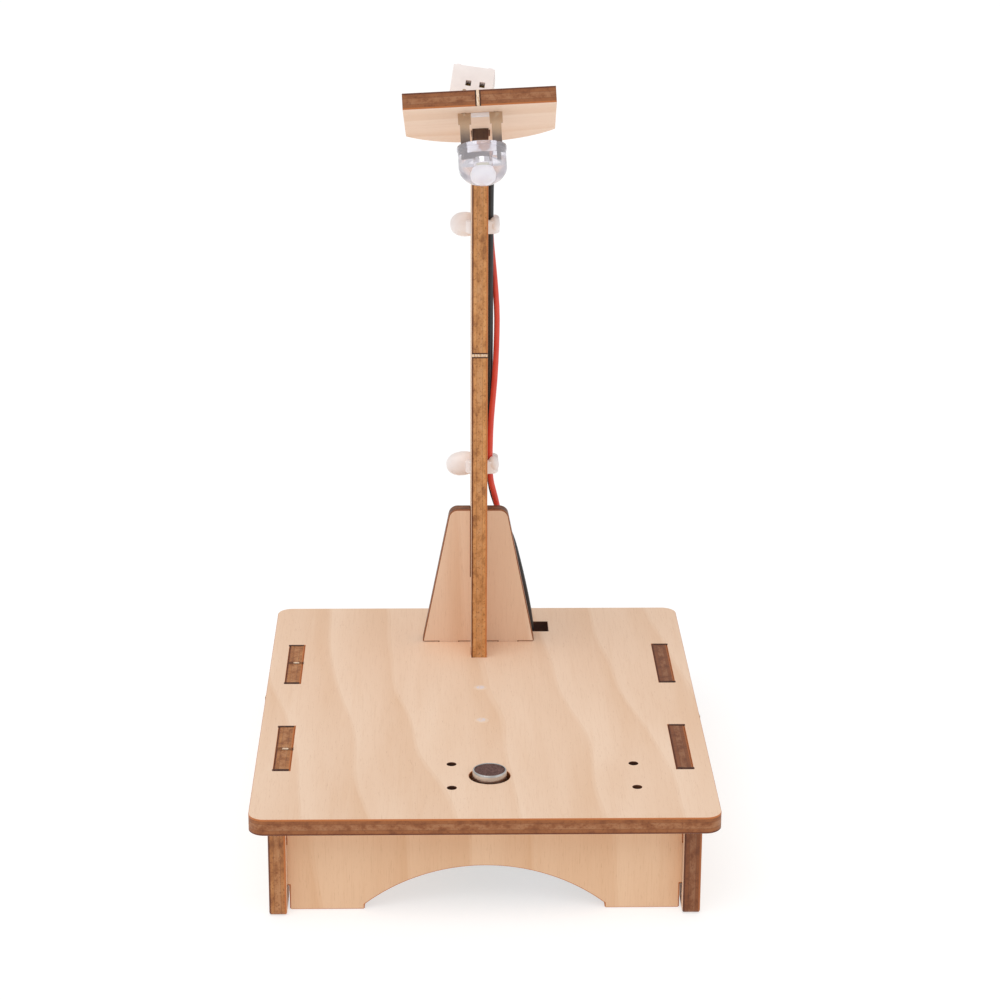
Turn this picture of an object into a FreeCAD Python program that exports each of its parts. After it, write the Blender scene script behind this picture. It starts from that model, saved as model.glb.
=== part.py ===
import FreeCAD, Part

import math
import os
import re

import Sketcher

os.makedirs("parts", exist_ok=True)
doc = FreeCAD.newDocument("sound_lamp")

Vector = FreeCAD.Vector
Rotation = FreeCAD.Rotation
Placement = FreeCAD.Placement

# ---------------------------------------------------------------- driving dimensions
# Millimetres and degrees.  The origin is on the floor under the middle of the
# base, +Z is up, the lamp faces -Y and +X is its right-hand side.

DIMENSIONS = {
    # Laser-cut plywood boards.
    "ply": 3.0,
    "base_width": 80.0,
    "base_depth": 100.0,
    "base_corner": 2.8,
    "foot_height": 16.0,
    "leg_inset": 3.2,
    "leg_front_inset": 2.0,
    "leg_tab_length": 20.0,
    "leg_tab_start": 10.0,
    "panel_setback": 2.5,
    "panel_gap": 0.4,
    "panel_tab_low": 4.6,
    "panel_tab_high": 12.4,
    "arch_half_span": 20.6,
    "arch_rise": 8.1,
    "arch_step": 0.9,
    # Upright post and the brace that crosses it.
    "post_front": 23.0,
    "post_width": 20.0,
    "post_height": 122.1,
    "post_neck_height": 107.0,
    "post_neck_width": 8.6,
    "foot_tab": 4.0,
    "brace_front": 31.5,
    "brace_height": 27.2,
    "brace_half_base": 10.9,
    "brace_half_top": 5.5,
    "brace_tab_start": 3.8,
    "halving_height": 13.6,
    # Cable ties and the wires they hold.
    "upper_tie_height": 101.2,
    "lower_tie_height": 53.9,
    "tie_width": 2.5,
    "tie_thick": 1.0,
    "tie_front": 34.4,
    "tie_back": 39.6,
    "tie_slot_play": 0.15,
    "wire_bore": 1.1,
    "wire_hole_left": 8.2,
    "wire_hole_front": 36.9,
    "wire_hole_width": 5.7,
    "wire_hole_depth": 5.4,
    # Lamp head: a small pitched plate, rounded at the back.
    "head_pitch": 26.0,
    "head_roll": 3.0,
    "head_width": 27.2,
    "head_front": 14.8,
    "head_side_end": 3.0,
    "head_back": 9.6,
    "head_tab_start": 1.2,
    "head_tab_length": 4.6,
    # Clear round light-emitting diode under the plate.
    "led_radius": 4.3,
    "led_setback": 4.8,
    "led_drop": 6.0,
    "led_barrel": 3.9,
    "led_dome": 3.2,
    "led_flange": 0.9,
    "led_rim": 0.15,
    "lead_setback": 4.4,
    "lead_sunk": 1.2,
    "lead_spacing": 5.64,
    "lead_width": 1.7,
    "lead_thick": 0.5,
    "lead_pin": 0.6,
    "shoulder_width": 2.3,
    "shoulder_height": 2.0,
    # Two-way plug lying askew on the plate.
    "plug_width": 7.5,
    "plug_length": 8.0,
    "plug_thick": 6.1,
    "plug_way_height": 2.95,
    "plug_lead_height": 0.85,
    "plug_way_shift": 0.6,
    "plug_setback": 8.6,
    "plug_right": 1.95,
    "plug_tilt": 11.4,
    "plug_pitch": 2.5,
    "plug_cavity": 1.9,
    "plug_mouth": 1.0,
    # Circuit board under the base, with the microphone on top.
    "board_length": 38.0,
    "board_width": 16.0,
    "board_thick": 1.6,
    "board_x": 10.4,
    "board_y": -32.4,
    "board_gap": 0.8,
    "board_hole_x": 32.0,
    "board_hole_y": 10.0,
    "board_hole_radius": 0.8,
    "mic_x": 1.0,
    "mic_radius": 3.0,
    "mic_height": 5.0,
    "mic_hole_radius": 3.6,
    # Holder for two AA cells, screwed under the middle of the base.
    "cell_pitch": 15.6,
    "cell_radius": 7.1,
    "cell_body": 49.2,
    "cell_nub": 1.1,
    "holder_length": 57.4,
    "holder_width": 32.4,
    "holder_side": 1.2,
    "holder_floor": 1.3,
    "holder_end": 1.5,
    "holder_height": 14.2,
    "holder_screw_radius": 1.2,
    "contact_thick": 0.4,
    # Slide switch and sensitivity trimmer, both worked from below.
    "switch_x": 20.0,
    "switch_y": -36.6,
    "switch_length": 8.6,
    "switch_width": 3.8,
    "switch_height": 3.6,
    "switch_travel": 2.0,
    "knob_size": 1.5,
    "knob_reach": 3.4,
    "trimmer_x": 9.6,
    "trimmer_y": -35.6,
    "trimmer_size": 6.5,
    "trimmer_height": 4.8,
    "rotor_radius": 2.2,
}

sheet = doc.addObject("Spreadsheet::Sheet", "dims")
for row, (alias, number) in enumerate(DIMENSIONS.items(), start=1):
    sheet.set(f"A{row}", alias)
    sheet.set(f"B{row}", str(number))
    sheet.setAlias(f"B{row}", alias)
doc.recompute()


def bound(formula):
    """The formula with every alias pointed at the dimension sheet."""
    return re.sub(r"[a-z]+(?:_[a-z]+)*", lambda word: sheet_word(word.group()), str(formula))


def sheet_word(word):
    """An alias of the sheet gets the sheet's name in front; other words stay."""
    return f"dims.{word}" if word in DIMENSIONS else word


def value(formula):
    """The formula's number, for a starting position or a computed place."""
    return float(sheet.evalExpression(str(formula)))


def point(x, y, z):
    return Vector(value(x), value(y), value(z))


# ---------------------------------------------------------------- sketch helpers

ORIGIN_POINT = (-1, 1)


def new_body(label, plane, placement=None):
    """A body with one sketch on the named plane of its own origin."""
    body = doc.addObject("PartDesign::Body", label)
    body.Label = label
    if placement is not None:
        body.Placement = placement
    return body, new_sketch(body, plane, label + "_outline")


def new_sketch(body, plane, name):
    sketch = body.newObject("Sketcher::SketchObject", name)
    for feature in body.Origin.OriginFeatures:
        if feature.Role == plane:
            sketch.AttachmentSupport = [(feature, "")]
    sketch.MapMode = "FlatFace"
    return sketch


def pin_vertex(sketch, geometry, end, x, y):
    """Ties one end of a line to its place, measured from the sketch origin."""
    for kind, formula in (("DistanceX", x), ("DistanceY", y)):
        index = sketch.addConstraint(Sketcher.Constraint(
            kind, *ORIGIN_POINT, geometry, end, value(formula)))
        sketch.setExpression(f"Constraints[{index}]", bound(formula))


def outline(sketch, corners):
    """A closed outline of straight edges through the given corner formulas."""
    spots = [Vector(value(x), value(y), 0) for x, y in corners]
    first = sketch.GeometryCount
    for here, there in zip(spots, spots[1:] + spots[:1]):
        sketch.addGeometry(Part.LineSegment(here, there), False)
    count = len(spots)
    for step in range(count):
        following = first + (step + 1) % count
        sketch.addConstraint(Sketcher.Constraint("Coincident", first + step, 2, following, 1))
    for step, (x, y) in enumerate(corners):
        pin_vertex(sketch, first + step, 1, x, y)
    return first


def rectangle(sketch, left, low, width, height):
    right = f"({left}) + ({width})"
    high = f"({low}) + ({height})"
    return outline(sketch, [(left, low), (right, low), (right, high), (left, high)])


def circle(sketch, x, y, radius):
    centre = Vector(value(x), value(y), 0)
    index = sketch.addGeometry(Part.Circle(centre, Vector(0, 0, 1), value(radius)), False)
    pin_vertex(sketch, index, 3, x, y)
    size = sketch.addConstraint(Sketcher.Constraint("Radius", index, value(radius)))
    sketch.setExpression(f"Constraints[{size}]", bound(radius))
    return index


def bulge(sketch, edge, through, radius):
    """Swaps a straight edge of an outline for an arc through the given place."""
    line = sketch.Geometry[edge]
    start, end = line.StartPoint, line.EndPoint
    centre = Part.Arc(start, through, end).toShape().Curve.Center
    turns_left = (through - start).cross(end - through).z > 0
    ends = (1, 2) if turns_left else (2, 1)
    first, last = (start, end) if turns_left else (end, start)
    angles = [math.atan2(spot.y - centre.y, spot.x - centre.x) for spot in (first, last)]
    whole = Part.Circle(centre, Vector(0, 0, 1), value(radius))
    index = sketch.addGeometry(Part.ArcOfCircle(whole, *angles), False)
    sketch.toggleConstruction(edge)
    sketch.addConstraint(Sketcher.Constraint("Coincident", index, ends[0], edge, 1))
    sketch.addConstraint(Sketcher.Constraint("Coincident", index, ends[1], edge, 2))
    size = sketch.addConstraint(Sketcher.Constraint("Radius", index, value(radius)))
    sketch.setExpression(f"Constraints[{size}]", bound(radius))
    return index


def pad(body, sketch, length, midplane=False, reversed_=False):
    feature = body.newObject("PartDesign::Pad", sketch.Name + "_pad")
    feature.Profile = sketch
    feature.setExpression("Length", bound(length))
    feature.SideType = "Symmetric" if midplane else "One side"
    feature.Reversed = reversed_
    doc.recompute()
    body.Tip = feature
    return feature


def pocket(body, sketch):
    """Cuts the sketch right through the body, to both sides of its plane."""
    before = body.Shape.Volume
    feature = body.newObject("PartDesign::Pocket", sketch.Name + "_pocket")
    feature.Profile = sketch
    feature.SideType = "Symmetric"
    feature.Length = 400.0
    doc.recompute()
    body.Tip = feature
    if not feature.Shape.Volume < before - 1e-3:
        raise RuntimeError(f"{sketch.Name} cuts nothing")
    return feature


def fillet_edges(body, radius, chosen):
    """Rounds the edges of the body's tip that the chosen test accepts."""
    tip = body.Tip
    names = [f"Edge{i}" for i, edge in enumerate(tip.Shape.Edges, start=1) if chosen(edge)]
    feature = body.newObject("PartDesign::Fillet", body.Name + "_fillet")
    feature.Base = (tip, names)
    feature.setExpression("Radius", bound(radius))
    doc.recompute()
    body.Tip = feature
    return feature


def runs_along(edge, axis):
    direction = edge.tangentAt(edge.FirstParameter)
    return isinstance(edge.Curve, Part.Line) and abs(direction.dot(axis)) > 0.999


# ---------------------------------------------------------------- primitive helpers

SUB_PARTS = []


def keep(item, label=None):
    """Marks an object as a sub-part of the lamp, written under its label."""
    if label is not None:
        item.Label = label
    SUB_PARTS.append(item)
    return item


def place(item, x, y, z):
    for axis, formula in zip("xyz", (x, y, z)):
        item.setExpression(f"Placement.Base.{axis}", bound(formula))


def box(name, size, low):
    item = doc.addObject("Part::Box", name)
    for side, formula in zip(("Length", "Width", "Height"), size):
        item.setExpression(side, bound(formula))
    place(item, *low)
    return item


def cylinder(name, radius, height, low):
    item = doc.addObject("Part::Cylinder", name)
    item.setExpression("Radius", bound(radius))
    item.setExpression("Height", bound(height))
    place(item, *low)
    return item


def cone(name, low_radius, high_radius, height, low):
    item = doc.addObject("Part::Cone", name)
    item.setExpression("Radius1", bound(low_radius))
    item.setExpression("Radius2", bound(high_radius))
    item.setExpression("Height", bound(height))
    place(item, *low)
    return item


def fuse(name, items):
    item = doc.addObject("Part::MultiFuse", name)
    item.Shapes = items
    return item


def cut(name, base, tool):
    item = doc.addObject("Part::Cut", name)
    item.Base = base
    item.Tool = tool
    return item


def group(name, items):
    """Several separate solids of one kind, kept together as one sub-part."""
    item = doc.addObject("Part::Compound", name)
    item.Links = items
    return item


# ---------------------------------------------------------------- base plate
# A flat board with rounded corners.  Its slots take the tabs of the legs, post
# and brace; two round holes and a square one let the microphone, the screws and
# the wires through.

base, base_outline = new_body("base_plate", "XY_Plane")
place(base, 0, 0, "foot_height")
rectangle(base_outline, "-base_width / 2", "-base_depth / 2", "base_width", "base_depth")
pad(base, base_outline, "ply")
fillet_edges(base, "base_corner", lambda edge: runs_along(edge, Vector(0, 0, 1)))

openings = new_sketch(base, "XY_Plane", "base_openings")
for left in ("-base_width / 2 + leg_inset", "base_width / 2 - leg_inset - ply"):
    rectangle(openings, left, "leg_tab_start", "ply", "leg_tab_length")
    rectangle(openings, left, "-leg_tab_start - leg_tab_length", "ply", "leg_tab_length")
for front in ("post_front + 1.5", "post_front + post_width - 1.5 - foot_tab"):
    rectangle(openings, "-ply / 2", front, "ply", "foot_tab")
for left in ("brace_tab_start", "-brace_tab_start - foot_tab"):
    rectangle(openings, left, "brace_front", "foot_tab", "ply")
rectangle(openings, "wire_hole_left", "wire_hole_front", "wire_hole_width", "wire_hole_depth")
circle(openings, "mic_x", "board_y", "mic_hole_radius")
for side in ("-board_hole_x / 2", "board_hole_x / 2"):
    for end in ("-board_hole_y / 2", "board_hole_y / 2"):
        circle(openings, f"board_x + {side}", f"board_y + {end}", "board_hole_radius")
for side in ("-cell_pitch / 2", "cell_pitch / 2"):
    circle(openings, "0", side, "holder_screw_radius")
pocket(base, openings)
keep(base)


# ---------------------------------------------------------------- legs
# Two side boards on edge.  Each has two tabs up into the base and two windows
# that take the side tabs of the front and rear panels.

def make_leg(label, left):
    leg, side = new_body(label, "YZ_Plane")
    place(leg, left, 0, 0)
    ends = "(base_depth / 2 - leg_front_inset)"
    top = "foot_height + ply"
    outline(side, [
        (f"-{ends}", "0"),
        (ends, "0"),
        (ends, "foot_height"),
        ("leg_tab_start + leg_tab_length", "foot_height"),
        ("leg_tab_start + leg_tab_length", top),
        ("leg_tab_start", top),
        ("leg_tab_start", "foot_height"),
        ("-leg_tab_start", "foot_height"),
        ("-leg_tab_start", top),
        ("-leg_tab_start - leg_tab_length", top),
        ("-leg_tab_start - leg_tab_length", "foot_height"),
        (f"-{ends}", "foot_height"),
    ])
    pad(leg, side, "ply")
    half = value("base_depth / 2 - leg_front_inset")
    fillet_edges(leg, "ply / 3", lambda edge: runs_along(edge, Vector(1, 0, 0))
                 and abs(abs(edge.CenterOfMass.y) - half) < 0.01 and edge.CenterOfMass.z < 1)
    windows = new_sketch(leg, "YZ_Plane", label + "_windows")
    high = "panel_tab_high - panel_tab_low"
    rectangle(windows, f"-{ends} + panel_setback", "panel_tab_low", "ply", high)
    rectangle(windows, f"{ends} - panel_setback - ply", "panel_tab_low", "ply", high)
    pocket(leg, windows)
    return keep(leg)


make_leg("left_leg", "-base_width / 2 + leg_inset")
make_leg("right_leg", "base_width / 2 - leg_inset - ply")


# ---------------------------------------------------------------- arched panels
# A panel closes the front and another the back.  The lower edge is cut away in
# a low arch, and a tab at each side passes through a leg.

def make_panel(label, face_y):
    """The panel whose hidden face, on the -Y side of its board, lies at face_y + ply."""
    panel, front = new_body(label, "XZ_Plane")
    place(panel, 0, f"{face_y} + ply", 0)
    inner = "(base_width / 2 - leg_inset - ply)"
    outer = "(base_width / 2 - leg_inset)"
    body_edge = f"({inner} - panel_gap)"
    first = outline(front, [
        ("arch_half_span", "0"),
        (body_edge, "0"),
        (body_edge, "panel_tab_low"),
        (outer, "panel_tab_low"),
        (outer, "panel_tab_high"),
        (inner, "panel_tab_high"),
        (inner, "foot_height"),
        (f"-{inner}", "foot_height"),
        (f"-{inner}", "panel_tab_high"),
        (f"-{outer}", "panel_tab_high"),
        (f"-{outer}", "panel_tab_low"),
        (f"-{body_edge}", "panel_tab_low"),
        (f"-{body_edge}", "0"),
        ("-arch_half_span", "0"),
        ("-arch_half_span", "arch_step"),
        ("arch_half_span", "arch_step"),
    ])
    rise = "(arch_rise - arch_step)"
    radius = f"(arch_half_span ^ 2 + {rise} ^ 2) / (2 * {rise})"
    bulge(front, first + 14, Vector(0, value("arch_rise"), 0), radius)
    pad(panel, front, "ply")
    return keep(panel)


make_panel("front_panel", "-base_depth / 2 + leg_front_inset + panel_setback")
make_panel("rear_panel", "base_depth / 2 - leg_front_inset - panel_setback - ply")


# ---------------------------------------------------------------- post and brace
# The post stands on edge, facing forwards.  Two tabs go into the base, a notch
# at its foot straddles the brace, its sloping top carries the lamp head on one
# tab, and two pairs of small slots take the cable ties.

TOP = "(foot_height + ply)"

post, post_side = new_body("post_board", "YZ_Plane")
place(post, "-ply / 2", 0, 0)
back = "(post_front + post_width)"
neck_back = "(post_front + post_neck_width)"
tab_run = "cos(head_pitch * 1 deg)"
tab_drop = "sin(head_pitch * 1 deg)"


def head_spot(along, up):
    """The (y, z) formulas of a place along the sloping underside of the head."""
    return (f"post_front + ({along}) * {tab_run} + ({up}) * {tab_drop}",
            f"post_height - ({along}) * {tab_drop} + ({up}) * {tab_run}")


outline(post_side, [
    ("post_front", TOP),
    ("post_front + 1.5", TOP),
    ("post_front + 1.5", "foot_height"),
    ("post_front + 1.5 + foot_tab", "foot_height"),
    ("post_front + 1.5 + foot_tab", TOP),
    ("brace_front", TOP),
    ("brace_front", f"{TOP} + halving_height"),
    ("brace_front + ply", f"{TOP} + halving_height"),
    ("brace_front + ply", TOP),
    (f"{back} - 1.5 - foot_tab", TOP),
    (f"{back} - 1.5 - foot_tab", "foot_height"),
    (f"{back} - 1.5", "foot_height"),
    (f"{back} - 1.5", TOP),
    (back, TOP),
    (back, "post_neck_height"),
    head_spot("post_neck_width", "0"),
    head_spot("head_tab_start + head_tab_length", "0"),
    head_spot("head_tab_start + head_tab_length", "ply"),
    head_spot("head_tab_start", "ply"),
    head_spot("head_tab_start", "0"),
    ("post_front", "post_height"),
])
pad(post, post_side, "ply")
tie_slots = new_sketch(post, "YZ_Plane", "tie_slots")
slot_wide = "tie_thick + 2 * tie_slot_play"
slot_high = "tie_width + 2 * tie_slot_play"
for height in ("upper_tie_height", "lower_tie_height"):
    for middle in ("tie_front", "tie_back"):
        rectangle(tie_slots, f"{middle} - ({slot_wide}) / 2", f"{height} - ({slot_high}) / 2",
                  slot_wide, slot_high)
pocket(post, tie_slots)

# The brace is a trapezoid across the post, slotted from its top edge down to
# the notch in the post, with two tabs into the base.
brace, brace_face = new_body("post_brace", "XZ_Plane")
place(brace, 0, "brace_front + ply", "foot_height + ply")
outline(brace_face, [
    ("brace_half_base", "0"),
    ("brace_half_top", "brace_height"),
    ("ply / 2", "brace_height"),
    ("ply / 2", "halving_height"),
    ("-ply / 2", "halving_height"),
    ("-ply / 2", "brace_height"),
    ("-brace_half_top", "brace_height"),
    ("-brace_half_base", "0"),
    ("-brace_tab_start - foot_tab", "0"),
    ("-brace_tab_start - foot_tab", "-ply"),
    ("-brace_tab_start", "-ply"),
    ("-brace_tab_start", "0"),
    ("brace_tab_start", "0"),
    ("brace_tab_start", "-ply"),
    ("brace_tab_start + foot_tab", "-ply"),
    ("brace_tab_start + foot_tab", "0"),
])
pad(brace, brace_face, "ply")
brace_top = value("brace_height")
fillet_edges(brace, "ply * 0.6", lambda edge: runs_along(edge, Vector(0, 1, 0))
             and edge.CenterOfMass.z > brace_top - 0.01 and abs(edge.CenterOfMass.x) > 2)
keep(brace)


# ---------------------------------------------------------------- lamp head
# Everything on the head is made flat in a frame of its own: origin where the
# post's front edge meets the underside, +Y back along the plate, +Z out of its
# upper face.  The frame is pitched front-up and leans a little to one side.

HEAD = Placement(
    point(0, "post_front", "post_height"),
    Rotation(Vector(0, 1, 0), -value("head_roll")) * Rotation(Vector(1, 0, 0), -value("head_pitch")))


head, head_outline = new_body("head_plate", "XY_Plane", HEAD)
half = "head_width / 2"
first = outline(head_outline, [
    (f"-{half}", "-head_front"),
    (half, "-head_front"),
    (half, "head_side_end"),
    (f"-{half}", "head_side_end"),
])
sagitta = "(head_back - head_side_end)"
bulge(head_outline, first + 2, Vector(0, value("head_back"), 0),
      f"((head_width / 2) ^ 2 + {sagitta} ^ 2) / (2 * {sagitta})")
pad(head, head_outline, "ply")
head_cuts = new_sketch(head, "XY_Plane", "head_openings")
rectangle(head_cuts, "-ply / 2 - 0.2", "head_tab_start", "ply + 0.4", "head_tab_length")
for side in ("-lead_spacing / 2", "lead_spacing / 2"):
    circle(head_cuts, side, "lead_setback - head_front", "lead_pin / 2 + 0.2")
pocket(head, head_cuts)
keep(head)

# The top of the post is dressed to lie flat against the leaning plate.
keep(cut("post", post, head))


# ---------------------------------------------------------------- round tubes
# Wires and pins are round tubes along a route of straight runs joined by
# tangent arcs, each arc as large as its two runs allow.

def tube_shape(route, radius):
    """The tube, its length and its smallest bend radius."""
    edges = []
    start = route[0]
    smallest = math.inf
    for before, corner, after in zip(route, route[1:], route[2:]):
        arriving = (corner - before).normalize()
        leaving = (after - corner).normalize()
        turn = arriving.getAngle(leaving)
        reach = 0.45 * min(corner.distanceToPoint(before), corner.distanceToPoint(after))
        bend = reach / math.tan(turn / 2)
        smallest = min(smallest, bend)
        arc_start = corner - arriving * reach
        arc_end = corner + leaving * reach
        inward = (leaving - arriving).normalize()
        middle = corner + inward * (bend / math.cos(turn / 2) - bend)
        edges.append(Part.LineSegment(start, arc_start).toShape())
        edges.append(Part.Arc(arc_start, middle, arc_end).toShape())
        start = arc_end
    edges.append(Part.LineSegment(start, route[-1]).toShape())
    path = Part.Wire(edges)
    section = Part.Wire(Part.makeCircle(radius, route[0], (route[1] - route[0])))
    shape = path.makePipeShell([section], True, False)
    expected = math.pi * radius ** 2 * path.Length
    if abs(shape.Volume / expected - 1) > 0.01:
        raise RuntimeError(f"tube volume {shape.Volume:.2f}, expected {expected:.2f}")
    return shape, path.Length, smallest


def tube(name, route, radius):
    shape, length, smallest = tube_shape(route, radius)
    item = doc.addObject("Part::Feature", name)
    item.Shape = shape
    print(f"{name}: length {length:.1f}, smallest bend radius {smallest:.1f}")
    return item


# ---------------------------------------------------------------- plug on the head
# A two-way housing lies on the plate, tipped on its right-hand lower edge.  Its
# frame has its origin at that edge's front corner, +Y back along the housing.
# Each way has an open mouth, and below it a small hole for one lead of the lamp.

PLUG = HEAD.multiply(Placement(
    point("plug_right", "plug_setback - head_front", "ply"),
    Rotation(Vector(0, 1, 0), value("plug_tilt"))))

plug_middle = "plug_way_height"
cavity_low = "(plug_lead_height - plug_mouth / 2)"
cavity_height = f"({plug_middle} + plug_cavity / 2 - {cavity_low})"
way_left = ("-(plug_width + plug_pitch) / 2 + plug_way_shift",
            "-(plug_width - plug_pitch) / 2 + plug_way_shift")
hollows = []
for name, way in zip(("first", "second"), way_left):
    hollows.append(box(name + "_cavity", ("plug_cavity", "plug_length", cavity_height),
                       (f"{way} - plug_cavity / 2", "2", cavity_low)))
    hollows.append(box(name + "_lead_way", ("plug_mouth", "3", "plug_mouth"),
                       (f"{way} - plug_mouth / 2", "-0.5", "plug_lead_height - plug_mouth / 2")))
    hollows.append(box(name + "_mouth", ("plug_mouth", "3", "plug_mouth"),
                       (f"{way} - plug_mouth / 2", "-0.5", f"{plug_middle} - plug_mouth / 2")))
    hollows.append(box(name + "_latch", ("1.3", "1.6", "1"),
                       (f"{way} - 0.65", "3.2", "plug_thick - 0.6")))
plug_block = box("plug_block", ("plug_width", "plug_length", "plug_thick"), ("-plug_width", "0", "0"))
plug_ribs = [box(f"plug_rib_{number}", ("0.8", "plug_length * 0.6", "0.5"), (left, "1.2", "plug_thick"))
             for number, left in enumerate(("-plug_width + 0.5", "-1.3"), start=1)]
plug_housing = cut("plug_housing", fuse("plug_solid", [plug_block] + plug_ribs),
                   fuse("plug_hollows", hollows))
plug_housing.Placement = PLUG
keep(plug_housing)

contact_width = "(plug_cavity - 0.2)"
plug_contacts = group("plug_contacts", [
    box(name + "_contact", (contact_width, "3", f"{cavity_height} - 0.2"),
        (f"{way} - {contact_width} / 2", "2.5", f"{cavity_low} + 0.1"))
    for name, way in zip(("first", "second"), way_left)])
plug_contacts.Placement = PLUG
keep(plug_contacts)


# ---------------------------------------------------------------- light-emitting diode
# A clear moulded body with a flange and a domed tip hangs point down under the
# plate on two flat leads.  Each lead has a shoulder against the plate, goes
# through a small hole and bends back into one way of the plug.

lead_y = "lead_setback - head_front"
led_y = "led_setback - head_front"
to_head = HEAD.inverse()


def make_lead(name, side, way):
    """One lead in the head's frame: strap, shoulder and bent round pin."""
    middle = f"{side} * lead_spacing / 2"
    strap = box(name + "_strap", ("lead_width", "lead_thick", "led_drop + lead_sunk"),
                (f"{middle} - lead_width / 2", f"{lead_y} - lead_thick / 2", "-led_drop - lead_sunk"))
    shoulder = box(name + "_shoulder", ("shoulder_width", "lead_thick", "shoulder_height"),
                   (f"{middle} - shoulder_width / 2", f"{lead_y} - lead_thick / 2",
                    "-shoulder_height"))
    hole = to_head.multiply(PLUG).multVec(point(way, 0, "plug_lead_height"))
    end = to_head.multiply(PLUG).multVec(point(way, 2.5, "plug_lead_height"))
    foot = point(middle, lead_y, -0.5)
    route = [foot, Vector(foot.x, foot.y, hole.z - 0.3),
             hole + Vector(0, -1.5, 0), end]
    pin = tube(name + "_pin", route, value("lead_pin / 2"))
    return strap, shoulder, pin


left_strap, left_shoulder, left_pin = make_lead("left", -1, way_left[0])
right_strap, right_shoulder, right_pin = make_lead("right", 1, way_left[1])
frame_z = "-led_drop - lead_sunk"
anvil = box("anvil", ("lead_spacing / 2 + 0.9", "lead_thick", "1.2"),
            ("-lead_spacing / 2", f"{lead_y} - lead_thick / 2", f"{frame_z} - 1.2"))
cup = cylinder("cup", "1.1", "0.9", ("0", lead_y, f"{frame_z} - 1.9"))
whisker = box("whisker", ("0.5", "lead_thick", "1.6"),
              ("lead_spacing / 2 - 0.85", f"{lead_y} - lead_thick / 2", f"{frame_z} - 1.6"))
left_lead = fuse("left_lead", [left_strap, left_shoulder, left_pin, anvil, cup])
right_lead = fuse("right_lead", [right_strap, right_shoulder, right_pin, whisker])
led_leads = group("led_leads", [left_lead, right_lead])
led_leads.Placement = HEAD
keep(led_leads)

chip = cylinder("led_chip_blank", "0.8", "0.3", ("0", lead_y, f"{frame_z} - 2.2"))
led_chip = group("led_chip", [chip])
led_chip.Placement = HEAD
keep(led_chip)

barrel = cylinder("led_barrel_blank", "led_radius", "led_barrel", ("0", led_y, "-led_drop - led_barrel"))
flange = cylinder("led_flange_blank", "led_radius + led_rim", "led_flange",
                  ("0", led_y, "-led_drop - led_flange"))
dome = doc.addObject("Part::Ellipsoid", "led_dome_blank")
dome.setExpression("Radius1", bound("led_dome"))
dome.setExpression("Radius2", bound("led_radius"))
place(dome, "0", led_y, "-led_drop - led_barrel")
led_lens = cut("led_lens", fuse("led_blank", [barrel, flange, dome]),
               fuse("led_core", [left_lead, right_lead, chip]))
led_lens.Placement = HEAD
keep(led_lens)

# A short white strip lies between the two shoulders against the plate.
spacer = box("lead_spacer_blank", ("lead_spacing - shoulder_width - 0.1", "0.8", "0.7"),
             ("-(lead_spacing - shoulder_width) / 2 + 0.05", f"{lead_y} - 0.4", "-0.7"))
lead_spacer = group("lead_spacer", [spacer])
lead_spacer.Placement = HEAD
keep(lead_spacer)


# ---------------------------------------------------------------- cable ties
# Each nylon strap passes through a pair of slots in the post, around the two
# wires on its right-hand side, and back into a locking head on the left.

def rounded_block(name, left, right, front, rear, low, high, radius):
    """An upright block with rounded corners, seen from above."""
    block = doc.addObject("Part::Box", name + "_block")
    block.setExpression("Length", bound(f"({right}) - ({left})"))
    block.setExpression("Width", bound(f"({rear}) - ({front})"))
    block.setExpression("Height", bound(f"({high}) - ({low})"))
    place(block, left, front, low)
    doc.recompute()
    rounded = doc.addObject("Part::Fillet", name)
    rounded.Base = block
    size = value(radius)
    rounded.Edges = [(number, size, size) for number, edge in enumerate(block.Shape.Edges, start=1)
                     if runs_along(edge, Vector(0, 0, 1))]
    return rounded


def make_tie(label, height, stub):
    low = f"{height} - tie_width / 2"
    high = f"{height} + tie_width / 2"
    outer = rounded_block(label + "_outer", "-ply / 2 - 0.1 - tie_thick", "ply / 2 + 1.35 + tie_thick",
                          "tie_front - tie_thick / 2", "tie_back + tie_thick / 2", low, high, "1.4")
    inner = rounded_block(label + "_inner", "-ply / 2 - 0.1", "ply / 2 + 1.35",
                          "tie_front + tie_thick / 2", "tie_back - tie_thick / 2",
                          f"{low} - 1", f"{high} + 1", "0.4")
    strap = cut(label + "_strap", outer, inner)
    lock = rounded_block(label + "_lock", "-ply / 2 - 3.9", "-ply / 2 - 0.12", "35.1", "39",
                         f"{height} - 2.4", f"{height} + 2.4", "0.9")
    tail = box(label + "_tail", (stub, "tie_thick", "tie_width"),
               (f"-ply / 2 - 3.9 - {stub}", "36.6", low))
    return keep(fuse(label, [strap, lock, tail]), label)


make_tie("upper_cable_tie", "upper_tie_height", "0.3")
make_tie("lower_cable_tie", "lower_tie_height", "1.0")


# ---------------------------------------------------------------- lamp wires
# Two wires leave the back of the plug, hang over the plate's rear edge, run down
# the right-hand side of the post under the ties, slant out behind the brace,
# drop through the base and end at two solder pads on the circuit board.

WIRE_RADIUS = value("wire_bore / 2")
BOARD_LOW = value("foot_height - board_gap - board_thick")
PAD_TIP = BOARD_LOW - 1.2


def plug_exit(way):
    """The wire's first two points: its end in the housing and a place behind it."""
    return [PLUG.multVec(point(way, 5.5, plug_middle)), PLUG.multVec(point(way, 12.0, plug_middle))]


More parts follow.
